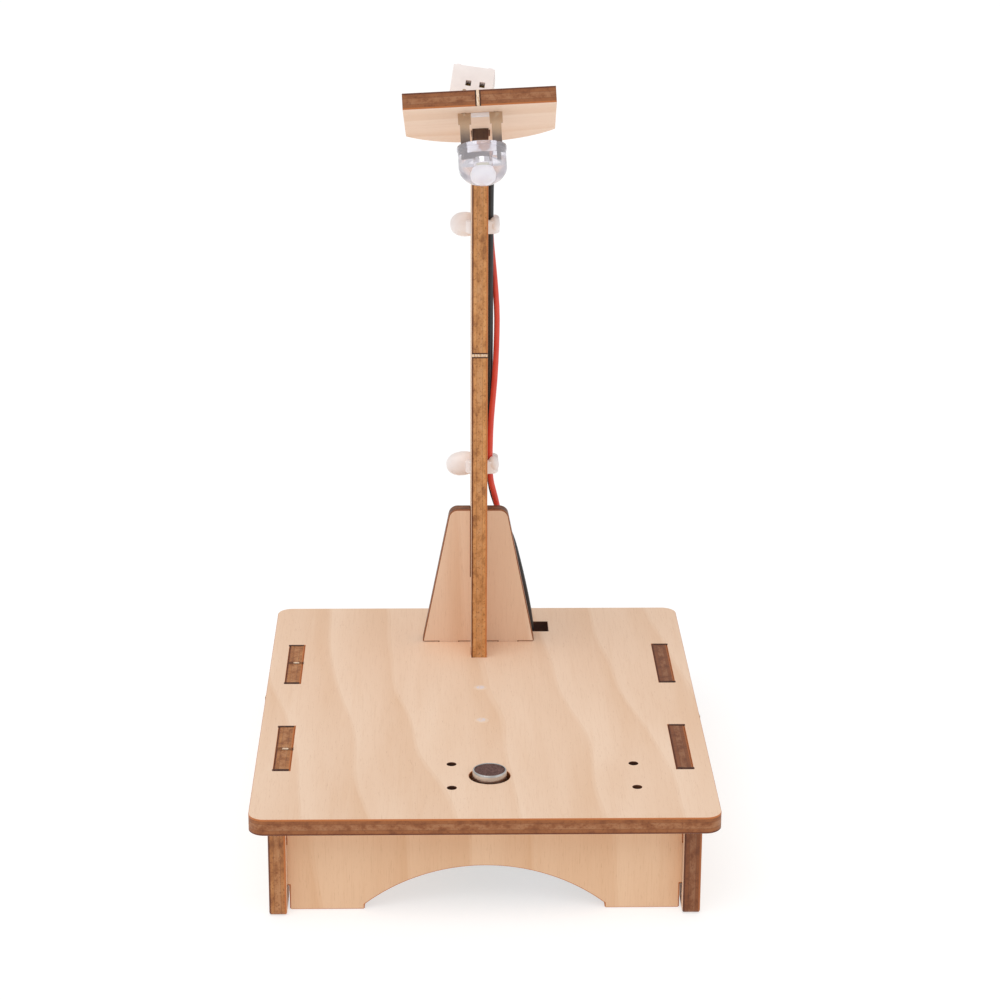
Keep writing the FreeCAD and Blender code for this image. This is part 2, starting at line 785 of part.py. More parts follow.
black_route = plug_exit(way_left[1]) + [
    Vector(2.9, 35.9, 119.0),
    Vector(2.25, 36.4, 111.0),
    Vector(2.18, 36.4, 101.2),
    Vector(2.18, 36.5, 89.0),
    Vector(2.18, 37.2, 73.0),
    Vector(2.18, 37.75, 62.0),
    Vector(2.18, 37.75, 49.8),
    Vector(3.7, 38.1, 44.4),
    Vector(6.6, 38.3, 38.6),
    Vector(8.7, 38.3, 30.0),
    Vector(10.3, 38.3, 22.0),
    Vector(11.0, 38.3, 14.0),
    Vector(16.6, 34.2, 8.4),
    Vector(25.6, 26.6, 7.4),
    Vector(30.3, 14.5, 7.6),
    Vector(30.4, -1.0, 7.4),
    Vector(30.1, -13.5, 7.0),
    Vector(27.2, -17.8, 5.8),
    Vector(22.6, -20.2, 4.6),
    Vector(20.7, -24.4, 5.2),
    Vector(20.4, -26.2, 9.0),
    Vector(20.4, -26.2, PAD_TIP),
]
red_route = plug_exit(way_left[0]) + [
    Vector(2.1, 37.4, 119.4),
    Vector(2.2, 37.75, 111.4),
    Vector(2.2, 37.75, 98.6),
    Vector(2.9, 37.65, 92.0),
    Vector(3.55, 37.0, 84.0),
    Vector(3.25, 36.4, 72.5),
    Vector(2.25, 36.35, 61.5),
    Vector(2.2, 36.35, 51.2),
    Vector(3.5, 36.5, 46.4),
    Vector(4.9, 36.9, 38.2),
    Vector(6.8, 37.9, 29.0),
    Vector(8.9, 39.6, 21.6),
    Vector(9.9, 40.6, 13.6),
    Vector(16.8, 37.2, 7.0),
    Vector(27.6, 30.2, 6.0),
    Vector(32.3, 17.0, 6.2),
    Vector(32.3, -1.0, 5.8),
    Vector(31.8, -14.5, 5.6),
    Vector(29.6, -19.6, 4.8),
    Vector(25.4, -22.2, 4.2),
    Vector(23.4, -24.9, 5.8),
    Vector(23.2, -26.2, 9.0),
    Vector(23.2, -26.2, PAD_TIP),
]
keep(tube("black_wire", black_route, WIRE_RADIUS))
keep(tube("red_wire", red_route, WIRE_RADIUS))


# ---------------------------------------------------------------- circuit board
# The board hangs on four small screws below the base, held off it by washers.
# The microphone stands on its upper side and comes up through the base; the
# other components are on its lower side, in reach of a finger or screwdriver.

board_low = "foot_height - board_gap - board_thick"
board_corners = [(f"board_x + {side} * board_hole_x / 2", f"board_y + {end} * board_hole_y / 2")
                 for side in (-1, 1) for end in (-1, 1)]

board, board_outline = new_body("circuit_board", "XY_Plane")
place(board, 0, 0, board_low)
rectangle(board_outline, "board_x - board_length / 2", "board_y - board_width / 2",
          "board_length", "board_width")
pad(board, board_outline, "board_thick")
fillet_edges(board, "1", lambda edge: runs_along(edge, Vector(0, 0, 1)))
board_holes = new_sketch(board, "XY_Plane", "board_holes")
for x, y in board_corners:
    circle(board_holes, x, y, "board_hole_radius")
pocket(board, board_holes)
keep(board)

washers = []
board_screws = []
for number, (x, y) in enumerate(board_corners, start=1):
    disc = cylinder(f"washer_disc_{number}", "1.8", "board_gap", (x, y, "foot_height - board_gap"))
    eye = cylinder(f"washer_eye_{number}", "board_hole_radius", "board_gap",
                   (x, y, "foot_height - board_gap"))
    washers.append(cut(f"washer_{number}", disc, eye))
    screw_head = cylinder(f"board_screw_head_{number}", "1.5", "1.1", (x, y, f"{board_low} - 1.1"))
    slot = box(f"board_screw_slot_{number}", ("3.4", "0.45", "0.5"),
               (f"{x} - 1.7", f"{y} - 0.225", f"{board_low} - 1.1"))
    shank = cylinder(f"board_screw_shank_{number}", "board_hole_radius - 0.05", "4.2", (x, y, board_low))
    board_screws.append(cut(f"board_screw_{number}",
                            fuse(f"board_screw_solid_{number}", [screw_head, shank]), slot))
keep(group("board_washers", washers))
keep(group("board_screws", board_screws))

# Microphone: a metal can with a turned-in rim around a disc of felt.
can = cylinder("can_blank", "mic_radius", "mic_height", ("mic_x", "board_y", "foot_height - board_gap"))
felt_low = "foot_height - board_gap + mic_height - 0.4"
well = cylinder("can_well", "mic_radius - 0.32", "1", ("mic_x", "board_y", felt_low))
keep(cut("microphone_can", can, well))
felt = cylinder("felt_blank", "mic_radius - 0.32", "0.33", ("mic_x", "board_y", felt_low))
keep(group("microphone_felt", [felt]))

# Amplifier chip with four legs a side.
chip_body = box("chip_body", ("9.2", "6.2", "3.1"), ("-3.6", "board_y - 5.3", f"{board_low} - 3.5"))
chip_legs = []
for side, leg_y in enumerate(("board_y - 5.9", "board_y + 0.9")):
    for step in range(4):
        chip_legs.append(box(f"chip_leg_{side}_{step}", ("0.5", "0.6", "2.4"),
                             (f"-3.6 + 0.54 + {2.54 * step}", leg_y, f"{board_low} - 2.4")))
keep(fuse("amplifier_chip", [chip_body] + chip_legs), "amplifier_chip")

# Three resistors lie side by side, each on its own bent leads.
resistors = []
for number in range(3):
    y = f"board_y + 2.2 + {2.1 * number}"
    resistor_body = cylinder(f"resistor_body_{number}", "0.85", "3.6", ("7.4", y, f"{board_low} - 1"))
    resistor_body.Placement.Rotation = Rotation(Vector(0, 1, 0), 90)
    lead = tube(f"resistor_lead_{number}", [
        Vector(4.6, value(y), BOARD_LOW),
        Vector(4.6, value(y), BOARD_LOW - 1.0),
        Vector(13.8, value(y), BOARD_LOW - 1.0),
        Vector(13.8, value(y), BOARD_LOW)], 0.25)
    resistors.append(fuse(f"resistor_{number}", [resistor_body, lead]))
keep(group("resistors", resistors))

# Smoothing capacitor, and a small transistor with one flat side.
capacitor = cylinder("capacitor_can", "2.5", "6.6", ("16.8", "board_y + 2.9", f"{board_low} - 6.8"))
capacitor_seat = cylinder("capacitor_seat", "2.2", "0.3", ("16.8", "board_y + 2.9", f"{board_low} - 0.3"))
keep(fuse("capacitor", [capacitor, capacitor_seat]), "capacitor")

transistor_round = cylinder("transistor_round", "2.2", "4.4", ("23", "board_y + 1.4", f"{board_low} - 6"))
transistor_flat = box("transistor_flat", ("6", "3", "6"), ("20", "board_y + 2.6", f"{board_low} - 7"))
transistor_body = cut("transistor_body", transistor_round, transistor_flat)
transistor_legs = [box(f"transistor_leg_{step}", ("0.45", "0.45", "1.8"),
                       (f"{21.5 + 1.27 * step}", "board_y + 1.2", f"{board_low} - 1.8"))
                   for step in range(3)]
keep(fuse("transistor", [transistor_body] + transistor_legs), "transistor")

# Solder cones: two for the lamp wires and two for the battery leads.
PADS = {"black_lamp": (20.4, -26.2), "red_lamp": (23.2, -26.2),
        "black_cell": (0.4, -26.2), "red_cell": (-2.6, -26.2)}
keep(group("solder_joints", [
    cone(f"{name}_joint", "wire_bore / 2", "1", "1.2", (x, y, f"{board_low} - 1.2"))
    for name, (x, y) in PADS.items()]))

# Slide switch: the knob runs along a slot in the housing's lower face.
switch_low = f"{board_low} - switch_height"
switch_block = box("switch_block", ("switch_length", "switch_width", "switch_height"),
                   ("switch_x - switch_length / 2", "switch_y - switch_width / 2", switch_low))
switch_slot = box("switch_slot", ("knob_size + switch_travel + 0.1", "knob_size + 0.1", "1.5"),
                  ("switch_x - (knob_size + switch_travel + 0.1) / 2",
                   "switch_y - knob_size / 2 - 0.05", f"{switch_low} - 0.2"))
keep(cut("switch_housing", switch_block, switch_slot))
knob = box("switch_knob_blank", ("knob_size", "knob_size", "knob_reach + 1.25"),
           ("switch_x - (knob_size + switch_travel) / 2", "switch_y - knob_size / 2",
            f"{switch_low} - knob_reach"))
keep(group("switch_knob", [knob]))

# Sensitivity trimmer: a slotted rotor in a round well.
trimmer_low = f"{board_low} - trimmer_height"
trimmer_block = box("trimmer_block", ("trimmer_size", "trimmer_size", "trimmer_height"),
                    ("trimmer_x - trimmer_size / 2", "trimmer_y - trimmer_size / 2", trimmer_low))
trimmer_well = cylinder("trimmer_well", "rotor_radius + 0.06", "1.7",
                        ("trimmer_x", "trimmer_y", f"{trimmer_low} - 0.2"))
keep(cut("trimmer_housing", trimmer_block, trimmer_well))
rotor_disc = cylinder("rotor_disc", "rotor_radius", "1.7", ("trimmer_x", "trimmer_y", f"{trimmer_low} - 0.25"))
rotor_slot = box("rotor_slot", ("2 * rotor_radius", "0.6", "0.7"),
                 ("trimmer_x - rotor_radius", "trimmer_y - 0.3", f"{trimmer_low} - 0.35"))
keep(cut("trimmer_rotor", rotor_disc, rotor_slot))


# ---------------------------------------------------------------- battery holder
# An open tray screwed to the underside of the base holds two cells side by side
# that push in from below.  Each lies between a plate and a coil spring.

holder_low = "foot_height - holder_height"
tray = box("tray_block", ("holder_length", "holder_width", "holder_height"),
           ("-holder_length / 2", "-holder_width / 2", holder_low))
bay = box("tray_bay", ("holder_length - 2 * holder_end", "holder_width - 2 * holder_side", "holder_height"),
          ("holder_end - holder_length / 2", "holder_side - holder_width / 2",
           f"{holder_low} - holder_floor"))
finger_gap = box("tray_finger_gap", ("24", "holder_width + 2", "7"),
                 ("-12", "-holder_width / 2 - 1", f"{holder_low} - 1"))
sinks = []
holder_screws = []
for number, y in enumerate(("-cell_pitch / 2", "cell_pitch / 2"), start=1):
    floor_low = "foot_height - holder_floor"
    sinks.append(cone(f"screw_sink_{number}", "2.3", "holder_screw_radius", "1.1", ("0", y, floor_low)))
    sinks.append(cylinder(f"screw_way_{number}", "holder_screw_radius", "4", ("0", y, floor_low)))
    screw_head = cone(f"holder_screw_head_{number}", "2.3", "holder_screw_radius", "1.1", ("0", y, floor_low))
    cross = [box(f"holder_screw_cross_{number}_{turn}", size, (f"-({size[0]}) / 2", f"{y} - ({size[1]}) / 2",
                                                               f"{floor_low} - 0.1"))
             for turn, size in enumerate((("2.2", "0.5", "0.7"), ("0.5", "2.2", "0.7")))]
    shank = cylinder(f"holder_screw_shank_{number}", "holder_screw_radius", "2.9 + 0.2",
                     ("0", y, f"{floor_low} + 0.3"))
    tip = cone(f"holder_screw_tip_{number}", "holder_screw_radius", "0.5", "0.8",
               ("0", y, f"{floor_low} + 3.4"))
    holder_screws.append(cut(f"holder_screw_{number}",
                             fuse(f"holder_screw_solid_{number}", [screw_head, shank, tip]),
                             fuse(f"holder_screw_recess_{number}", cross)))
rib = box("tray_rib", ("holder_length - 2 * holder_end", "0.8", "5"),
          ("holder_end - holder_length / 2", "-0.4", "foot_height - holder_floor - 5"))
tray_walls = cut("tray_walls", tray, fuse("tray_hollows", [bay, finger_gap] + sinks))
keep(fuse("battery_holder", [tray_walls, rib]), "battery_holder")
keep(group("holder_screws", holder_screws))


def coil_route(rise):
    """Three turns of a spring that narrows a little towards the cell."""
    turns, steps = 3, 8
    places = []
    for step in range(turns * steps + 1):
        share = step / (turns * steps)
        angle = 2 * math.pi * step / steps
        radius = 3.2 - 1.0 * share
        places.append(Vector(radius * math.cos(angle), radius * math.sin(angle), rise * share))
    return places


cell_z = "foot_height - holder_floor - cell_radius"
inner_end = "(holder_length / 2 - holder_end)"
spring_room = f"(2 * {inner_end} - 2 * contact_thick - cell_body - cell_nub)"
plates = []
springs = []
for name, side in (("first_cell", 1), ("second_cell", -1)):
    y = f"{side} * cell_pitch / 2"
    can_start = f"-{side} * ({inner_end} - contact_thick - {spring_room})"
    cell_body = cylinder(name + "_can", "cell_radius", "cell_body", (can_start, y, cell_z))
    cell_body.Placement.Rotation = Rotation(Vector(0, 1, 0), 90 * side)
    nub_start = f"{can_start} + {side} * cell_body"
    nub = cylinder(name + "_nub", "2.7", "cell_nub", (nub_start, y, cell_z))
    nub.Placement.Rotation = Rotation(Vector(0, 1, 0), 90 * side)
    keep(fuse(name, [cell_body, nub]), name)
    for end in (-1, 1):
        left = f"{inner_end} - contact_thick" if end > 0 else f"-{inner_end}"
        plates.append(box(f"{name}_plate_{'right' if end > 0 else 'left'}", ("contact_thick", "10", "9"),
                          (left, f"{y} - 5", f"{cell_z} - 4.5")))
    spring = tube(name + "_spring", coil_route(value(spring_room) - 0.62), 0.3)
    wall = value(f"-{side} * ({inner_end} - contact_thick)")
    spring.Placement = Placement(
        Vector(wall + 0.31 * side, value(y), value(cell_z)), Rotation(Vector(0, 1, 0), 90 * side))
    springs.append(spring)
keep(group("contact_plates", plates))
keep(group("contact_springs", springs))

# The battery leads cross from the tray's front wall to the board.
red_lead = [Vector(-20.0, -16.2, 5.2), Vector(-20.0, -20.4, 5.2), Vector(-15.4, -24.4, 5.4),
            Vector(-7.6, -26.0, 6.2), Vector(-4.2, -26.2, 7.8), Vector(-2.6, -26.2, 9.9),
            Vector(-2.6, -26.2, PAD_TIP)]
black_lead = [Vector(-16.0, -16.2, 5.6), Vector(-16.0, -20.2, 5.6), Vector(-12.0, -23.0, 5.2),
              Vector(-5.0, -24.2, 5.0), Vector(-1.6, -25.2, 5.6), Vector(0.4, -26.2, 8.8),
              Vector(0.4, -26.2, PAD_TIP)]
keep(tube("red_battery_lead", red_lead, WIRE_RADIUS))
keep(tube("black_battery_lead", black_lead, WIRE_RADIUS))


# ---------------------------------------------------------------- check and write

doc.recompute()
faults = []
for item in doc.Objects:
    if any(flag in item.State for flag in ("Invalid", "Error")):
        faults.append(f"{item.Label}: {item.State}")
for item in SUB_PARTS:
    if item.Shape.isNull() or not item.Shape.isValid():
        faults.append(f"{item.Label}: shape is null or not valid")
if faults:
    raise RuntimeError("; ".join(faults))
for item in SUB_PARTS:
    item.Shape.exportStep(f"parts/{item.Label}.step")
    print(f"{item.Label}: {len(item.Shape.Solids)} solids, {item.Shape.Volume:.2f} mm3")
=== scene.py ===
import math

import bmesh
import bpy
from mathutils import Matrix, Vector


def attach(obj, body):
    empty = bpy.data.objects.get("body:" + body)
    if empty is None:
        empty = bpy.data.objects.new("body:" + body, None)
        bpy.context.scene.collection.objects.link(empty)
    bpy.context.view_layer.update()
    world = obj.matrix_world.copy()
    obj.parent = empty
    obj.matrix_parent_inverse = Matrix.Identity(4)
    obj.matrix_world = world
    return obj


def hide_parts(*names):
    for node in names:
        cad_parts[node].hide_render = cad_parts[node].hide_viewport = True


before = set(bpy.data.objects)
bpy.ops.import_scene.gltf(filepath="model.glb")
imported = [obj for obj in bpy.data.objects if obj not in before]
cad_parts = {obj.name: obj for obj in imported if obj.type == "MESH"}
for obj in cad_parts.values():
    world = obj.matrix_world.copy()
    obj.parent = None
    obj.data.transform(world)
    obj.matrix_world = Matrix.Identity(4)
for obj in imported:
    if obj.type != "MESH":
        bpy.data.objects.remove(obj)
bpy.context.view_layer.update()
MM = 0.001

# ---------------------------------------------------------------- view, floor and light
# A softly glowing white table under a wide light from above and the left, with
# a weak fill from the right, seen from the front and a little above the head.

CAMERA_PLACE = Vector((-8.0, -474.3, 217.4)) * MM
CAMERA_PITCH = math.radians(18.49)
CAMERA_YAW = math.radians(-1.37)
CAMERA_ROLL = math.radians(0.29)
CAMERA_LENS = 99.7

camera_data = bpy.data.cameras.new("camera")
camera_data.lens = CAMERA_LENS
camera_data.sensor_width = 36.0
camera_data.clip_start = 0.01
camera = bpy.data.objects.new("camera", camera_data)
bpy.context.collection.objects.link(camera)
camera.matrix_world = (Matrix.Translation(CAMERA_PLACE)
                       @ Matrix.Rotation(CAMERA_YAW, 4, "Z")
                       @ Matrix.Rotation(math.pi / 2 - CAMERA_PITCH, 4, "X")
                       @ Matrix.Rotation(CAMERA_ROLL, 4, "Z"))
bpy.context.scene.camera = camera
bpy.context.scene.view_settings.view_transform = "Standard"


def tone(red, green, blue):
    """A colour given as 0 to 255 on a screen, as the shader wants it."""
    return tuple((level / 255 / 12.92) if level < 11 else ((level / 255 + 0.055) / 1.055) ** 2.4
                 for level in (red, green, blue))


def add_mesh(name, bm, smooth=False):
    """A new object at the origin from a bmesh in metres, normals made to point outwards."""
    bmesh.ops.recalc_face_normals(bm, faces=bm.faces)
    mesh = bpy.data.meshes.new(name)
    bm.to_mesh(mesh)
    bm.free()
    mesh.polygons.foreach_set("use_smooth", [smooth] * len(mesh.polygons))
    piece = bpy.data.objects.new(name, mesh)
    bpy.context.collection.objects.link(piece)
    return piece


def add_light(kind, name, place, target, power, size, colour=(1, 1, 1)):
    """A light at place that looks at target; size is its side in metres, or a sun's spread in radians."""
    data = bpy.data.lights.new(name, kind)
    data.energy = power
    data.color = colour
    if kind == "SUN":
        data.angle = size
    else:
        data.size = size
    light = bpy.data.objects.new(name, data)
    light.location = place
    light.rotation_euler = (Vector(target) - Vector(place)).to_track_quat("-Z", "Y").to_euler()
    bpy.context.collection.objects.link(light)


OVERHEAD_STRENGTH, OVERHEAD_SPREAD = 1.16, math.radians(60)
KEY_WATTS, FILL_WATTS, PANEL_SIDE = 0.42, 0.3, 0.5
ROOM_STRENGTH, FLOOR_GLOW = 0.60, 0.62
add_light("SUN", "overhead", (-0.2, -0.36, 1.0), (0, 0, 0), OVERHEAD_STRENGTH, OVERHEAD_SPREAD,
          (1.0, 0.99, 0.975))
add_light("AREA", "key", (-0.35, -0.45, 0.75), (0, 0, 0.04), KEY_WATTS, PANEL_SIDE)
add_light("AREA", "fill", (0.65, -0.35, 0.35), (0, 0, 0.06), FILL_WATTS, PANEL_SIDE)

world = bpy.data.worlds.new("studio")
world.use_nodes = True
world.node_tree.nodes["Background"].inputs["Color"].default_value = (1, 1, 1, 1)
world.node_tree.nodes["Background"].inputs["Strength"].default_value = ROOM_STRENGTH
bpy.context.scene.world = world


class Shade:
    """A shader value or colour socket; sums on it add Math nodes to its material."""

    def __init__(self, finish, socket):
        self.finish = finish
        self.socket = socket

    def math(self, operation, *others):
        return self.finish.add("ShaderNodeMath", {"operation": operation}, dict(enumerate((self, *others))))

    def __add__(self, other):
        return self.math("ADD", other)

    def __sub__(self, other):
        return self.math("SUBTRACT", other)

    def __rsub__(self, other):
        return self.finish.add("ShaderNodeMath", {"operation": "SUBTRACT"}, {0: other, 1: self})

    def __mul__(self, other):
        return self.math("MULTIPLY", other)

    __radd__ = __add__
    __rmul__ = __mul__

    def absolute(self):
        return self.math("ABSOLUTE")

    def most(self, other):
        return self.math("MAXIMUM", other)

    def step(self, start, end):
        """0 below start, 1 above end, smooth between them; start may be the larger."""
        return self.finish.add("ShaderNodeMapRange", {"interpolation_type": "SMOOTHSTEP"},
                               {"Value": self, "From Min": start, "From Max": end})

    def ramp(self, *stops):
        """A colour that runs through the stops as this value goes from 0 to 1."""
        return self.finish.add("ShaderNodeValToRGB", {"stops": stops}, {"Fac": self})

    def band(self, middle, half, soft):
        """1 within half of middle, falling to 0 over soft on each side."""
        return (self - middle).absolute().step(half + soft, half)


class Finish:
    """A procedural material and the few ways its nodes are made."""

    def __init__(self, name, **constants):
        self.material = bpy.data.materials.new(name)
        self.material.use_nodes = True
        self.tree = self.material.node_tree
        self.surface = self.tree.nodes["Principled BSDF"]
        for socket, number in constants.items():
            self.surface.inputs[socket.replace("_", " ")].default_value = number

    def add(self, kind, settings, values, output=0):
        """One node: its settings first, then its sockets' values or links."""
        node = self.tree.nodes.new(kind)
        for setting, choice in settings.items():
            if setting == "stops":
                self.set_stops(node.color_ramp, choice)
            else:
                setattr(node, setting, choice)
        for socket, entry in values.items():
            self.feed(node.inputs[socket], entry)
        return Shade(self, node.outputs[output])

    def set_stops(self, ramp, stops):
        while len(ramp.elements) < len(stops):
            ramp.elements.new(0.5)
        for element, (place, colour) in zip(ramp.elements, stops):
            element.position = place
            element.color = (*colour, 1)

    def feed(self, socket, entry):
        if isinstance(entry, Shade):
            self.tree.links.new(entry.socket, socket)
        elif isinstance(entry, tuple) and len(entry) == 3 and socket.type == "RGBA":
            socket.default_value = (*entry, 1)
        else:
            socket.default_value = entry

    def give(self, socket, entry):
        """Sends a value or link to one of the surface's own sockets."""
        self.feed(self.surface.inputs[socket], entry)

    def place(self):
        return self.add("ShaderNodeTexCoord", {}, {}, "Object")

    def parts(self, vector):
        """The x, y and z of a vector."""
        node = self.tree.nodes.new("ShaderNodeSeparateXYZ")
        self.feed(node.inputs[0], vector)
        return [Shade(self, output) for output in node.outputs]

    def stretch(self, vector, scale, turn=(0, 0, 0)):
        return self.add("ShaderNodeMapping", {}, {"Vector": vector, "Scale": scale, "Rotation": turn})

    def noise(self, vector, scale, detail=3.0, rough=0.5, distort=0.0):
        return self.add("ShaderNodeTexNoise", {}, {
            "Vector": vector, "Scale": scale, "Detail": detail, "Roughness": rough, "Distortion": distort})

    def mix(self, share, first, second, mode="MIX"):
        """One colour over another by a share from 0 to 1."""
        node = self.tree.nodes.new("ShaderNodeMix")
        node.data_type = "RGBA"
        node.blend_type = mode
        self.feed(node.inputs[0], share)
        self.feed(node.inputs[6], first)
        self.feed(node.inputs[7], second)
        return Shade(self, node.outputs[2])

    def mottle(self, cloud, dark, light):
        """The base colour, clouded between two tones."""
        self.give("Base Color", cloud.ramp((0.3, dark), (0.7, light)))

    def relief(self, height, strength, depth):
        """A bump from height, linked to the surface's normal."""
        bump = self.add("ShaderNodeBump", {}, {"Height": height, "Strength": strength, "Distance": depth})
        self.give("Normal", bump)


def paint(piece, finish):
    """Gives a piece one material, in place of any it came with."""
    piece.data.materials.clear()
    piece.data.materials.append(finish.material)


def dress(name, finish):
    """Gives a part of the frame its finish."""
    paint(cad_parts[name], finish)


floor_mesh = bmesh.new()
bmesh.ops.create_grid(floor_mesh, x_segments=1, y_segments=1, size=3.0)
floor = add_mesh("floor", floor_mesh)
floor_finish = Finish("floor_white", Roughness=0.9, Specular_IOR_Level=0.2,
                      Emission_Strength=FLOOR_GLOW, Emission_Color=(1, 1, 1, 1))
floor_cloud = floor_finish.noise(floor_finish.place(), 3.0)
floor_finish.give("Base Color", floor_finish.mix(floor_cloud, (0.42, 0.42, 0.42), (0.45, 0.45, 0.45)))
paint(floor, floor_finish)


# ---------------------------------------------------------------- plywood boards
# Eight boards laser-cut from 3 mm three-ply basswood, slotted together.  The
# faces are bare pale veneer; the cut edges and their arrises are scorched brown.

PLY = 3.0 * MM
SCORCHED_ARRIS = 0.2 * MM
# The post's top edges darken with painted shade between these heights.
POST_END_LOW, POST_END_HIGH = 117.5 * MM, 120.5 * MM

# Places shared by several sections, in millimetres; a burnt hole has a reach too.
BASE_TOP, CELL_ROW = 19.0, 7.8
BOARD_SCREWS = [(-5.6, -27.4), (-5.6, -37.4), (26.4, -27.4), (26.4, -37.4)]
BURNT_HOLES = [(spot, 1.4) for spot in BOARD_SCREWS] + [((11.05, 39.6), 4.3)]
HEAD_FRAME = (Matrix.Translation(Vector((0, 23.0, 122.1)) * MM)
              @ Matrix.Rotation(math.radians(-3), 4, "Y") @ Matrix.Rotation(math.radians(-26), 4, "X"))

VENEER_PALE = tone(245, 221, 201)
VENEER_MID = tone(239, 211, 188)
VENEER_WARM = tone(231, 197, 168)
CUT_BROWN = tone(144, 83, 44)
CUT_GOLD = tone(208, 145, 86)
CUT_DARK = tone(106, 54, 24)
SCORCH = tone(96, 44, 20)

plywood = Finish("laser_cut_plywood", Roughness=0.62, Specular_IOR_Level=0.35)
sheet = plywood.add("ShaderNodeAttribute", {"attribute_name": "sheet"}, {}, "Vector")
along, across, depth = plywood.parts(sheet)
light_edge = plywood.add("ShaderNodeAttribute", {"attribute_name": "light_edge"}, {}, "Fac")
warmth = plywood.add("ShaderNodeAttribute", {"attribute_name": "warmth"}, {}, "Fac")
char = plywood.add("ShaderNodeAttribute", {"attribute_name": "char"}, {}, "Fac")
on_face = depth.absolute().step(1.47 * MM, 1.495 * MM)

drift = plywood.noise(plywood.stretch(sheet, (9, 26, 9)), 1.0, 2.0, 0.5)
ring = (across * 78 + along * 9 + drift * 1.7).math("FRACT")
figure = plywood.noise(plywood.stretch(sheet, (14, 95, 14), (0, 0, math.radians(6))), 1.0, 2.0, 0.45, 0.6)
streak = plywood.noise(plywood.stretch(sheet, (22, 520, 40), (0, 0, math.radians(6))), 1.0, 3.0, 0.6, 0.2)
fibre = plywood.noise(plywood.stretch(sheet, (180, 5200, 900)), 1.0, 2.0, 0.6)
pores = plywood.noise(plywood.stretch(sheet, (650, 9000, 900)), 1.0, 1.0).step(0.66, 0.76)
veneer = (figure * 0.6 + 0.42 - ring * 0.26).ramp(
    (0.32, VENEER_WARM), (0.55, VENEER_MID), (0.76, VENEER_PALE))
veneer = plywood.mix(ring.band(0.985, 0.01, 0.04) * 0.45, veneer, VENEER_PALE)
veneer = plywood.mix(streak.step(0.54, 0.74) * 0.22, veneer, VENEER_WARM)
veneer = plywood.mix(streak.step(0.46, 0.28) * 0.25, veneer, VENEER_PALE)
veneer = plywood.mix(fibre.step(0.50, 0.75) * 0.16, veneer, tone(205, 165, 132))
veneer = plywood.mix(pores * 0.30, veneer, tone(188, 146, 112))
# Warm tint: partly each board's own tone. On the upright front and rear panels it is painted shade, darker
# and warmer than the lit top.
veneer = plywood.mix(warmth, veneer, plywood.mix(1.0, veneer, tone(240, 222, 200), "MULTIPLY"))

soot = plywood.noise(plywood.stretch(sheet, (420, 420, 700)), 1.0, 4.0, 0.62)
speck = plywood.noise(plywood.stretch(sheet, (2100, 2100, 2600)), 1.0, 2.0, 0.6)
core = depth.absolute().step(0.62 * MM, 0.48 * MM)
glue_line = depth.absolute().band(0.56 * MM, 0.02 * MM, 0.08 * MM)
browned = plywood.mix(light_edge, CUT_BROWN, CUT_GOLD)
cut_face = plywood.mix(soot.step(0.44, 0.72) * 0.6, browned, CUT_DARK)
cut_face = plywood.mix(soot.step(0.50, 0.30) * light_edge * 0.5, cut_face, tone(226, 170, 112))
cut_face = plywood.mix(core * soot.step(0.62, 0.38) * 0.35, cut_face, tone(186, 140, 104))
cut_face = plywood.mix(speck.step(0.53, 0.68) * 0.5, cut_face, tone(112, 56, 22))
cut_face = plywood.mix(glue_line * 0.30, cut_face, tone(88, 50, 30))
arris = depth.absolute().step(1.08 * MM, 1.30 * MM)
arris_tone = plywood.mix(depth.step(-1.0 * MM, 1.0 * MM), tone(192, 112, 56), SCORCH)
cut_face = plywood.mix(arris * (0.65 + soot * 0.5), cut_face, arris_tone)
# Painted shade: towards the top of the post, where it meets the head plate, the cut edges darken to near
# black. The same near-black tone also serves the real char.
above_floor = plywood.parts(plywood.place())[2]
post_top_shade = above_floor.step(POST_END_LOW, POST_END_HIGH) * light_edge
cut_face = plywood.mix((post_top_shade * 0.9).most(char * (0.6 + soot * 0.6)), cut_face, tone(52, 30, 22))
plywood.give("Base Color", plywood.mix(on_face, cut_face, veneer))
plywood.give("Roughness", on_face * 0.1 + fibre * 0.12 + 0.46)
plywood.relief(fibre * 0.5 + streak * 0.3 - pores * 0.6 + speck * (1 - on_face) * 1.5, 0.35, 0.05 * MM)


def merged(node):
    """A bmesh of a part of the frame with its triangles joined up and flats made whole."""
    bm = bmesh.new()
    bm.from_mesh(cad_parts[node].data)
    bmesh.ops.remove_doubles(bm, verts=bm.verts, dist=1e-6)
    bmesh.ops.dissolve_limit(bm, angle_limit=math.radians(0.6), verts=bm.verts, edges=bm.edges)
    return bm


def stand_in(piece, finish, node, body="lamp"):
    """The piece takes the place of a part of the frame and rides on its body."""
    paint(piece, finish)
    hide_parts(node)
    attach(piece, body)


def extra(piece, finish, body="lamp"):
    """A piece of detail that no part of the frame stands for."""
    paint(piece, finish)
    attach(piece, body)


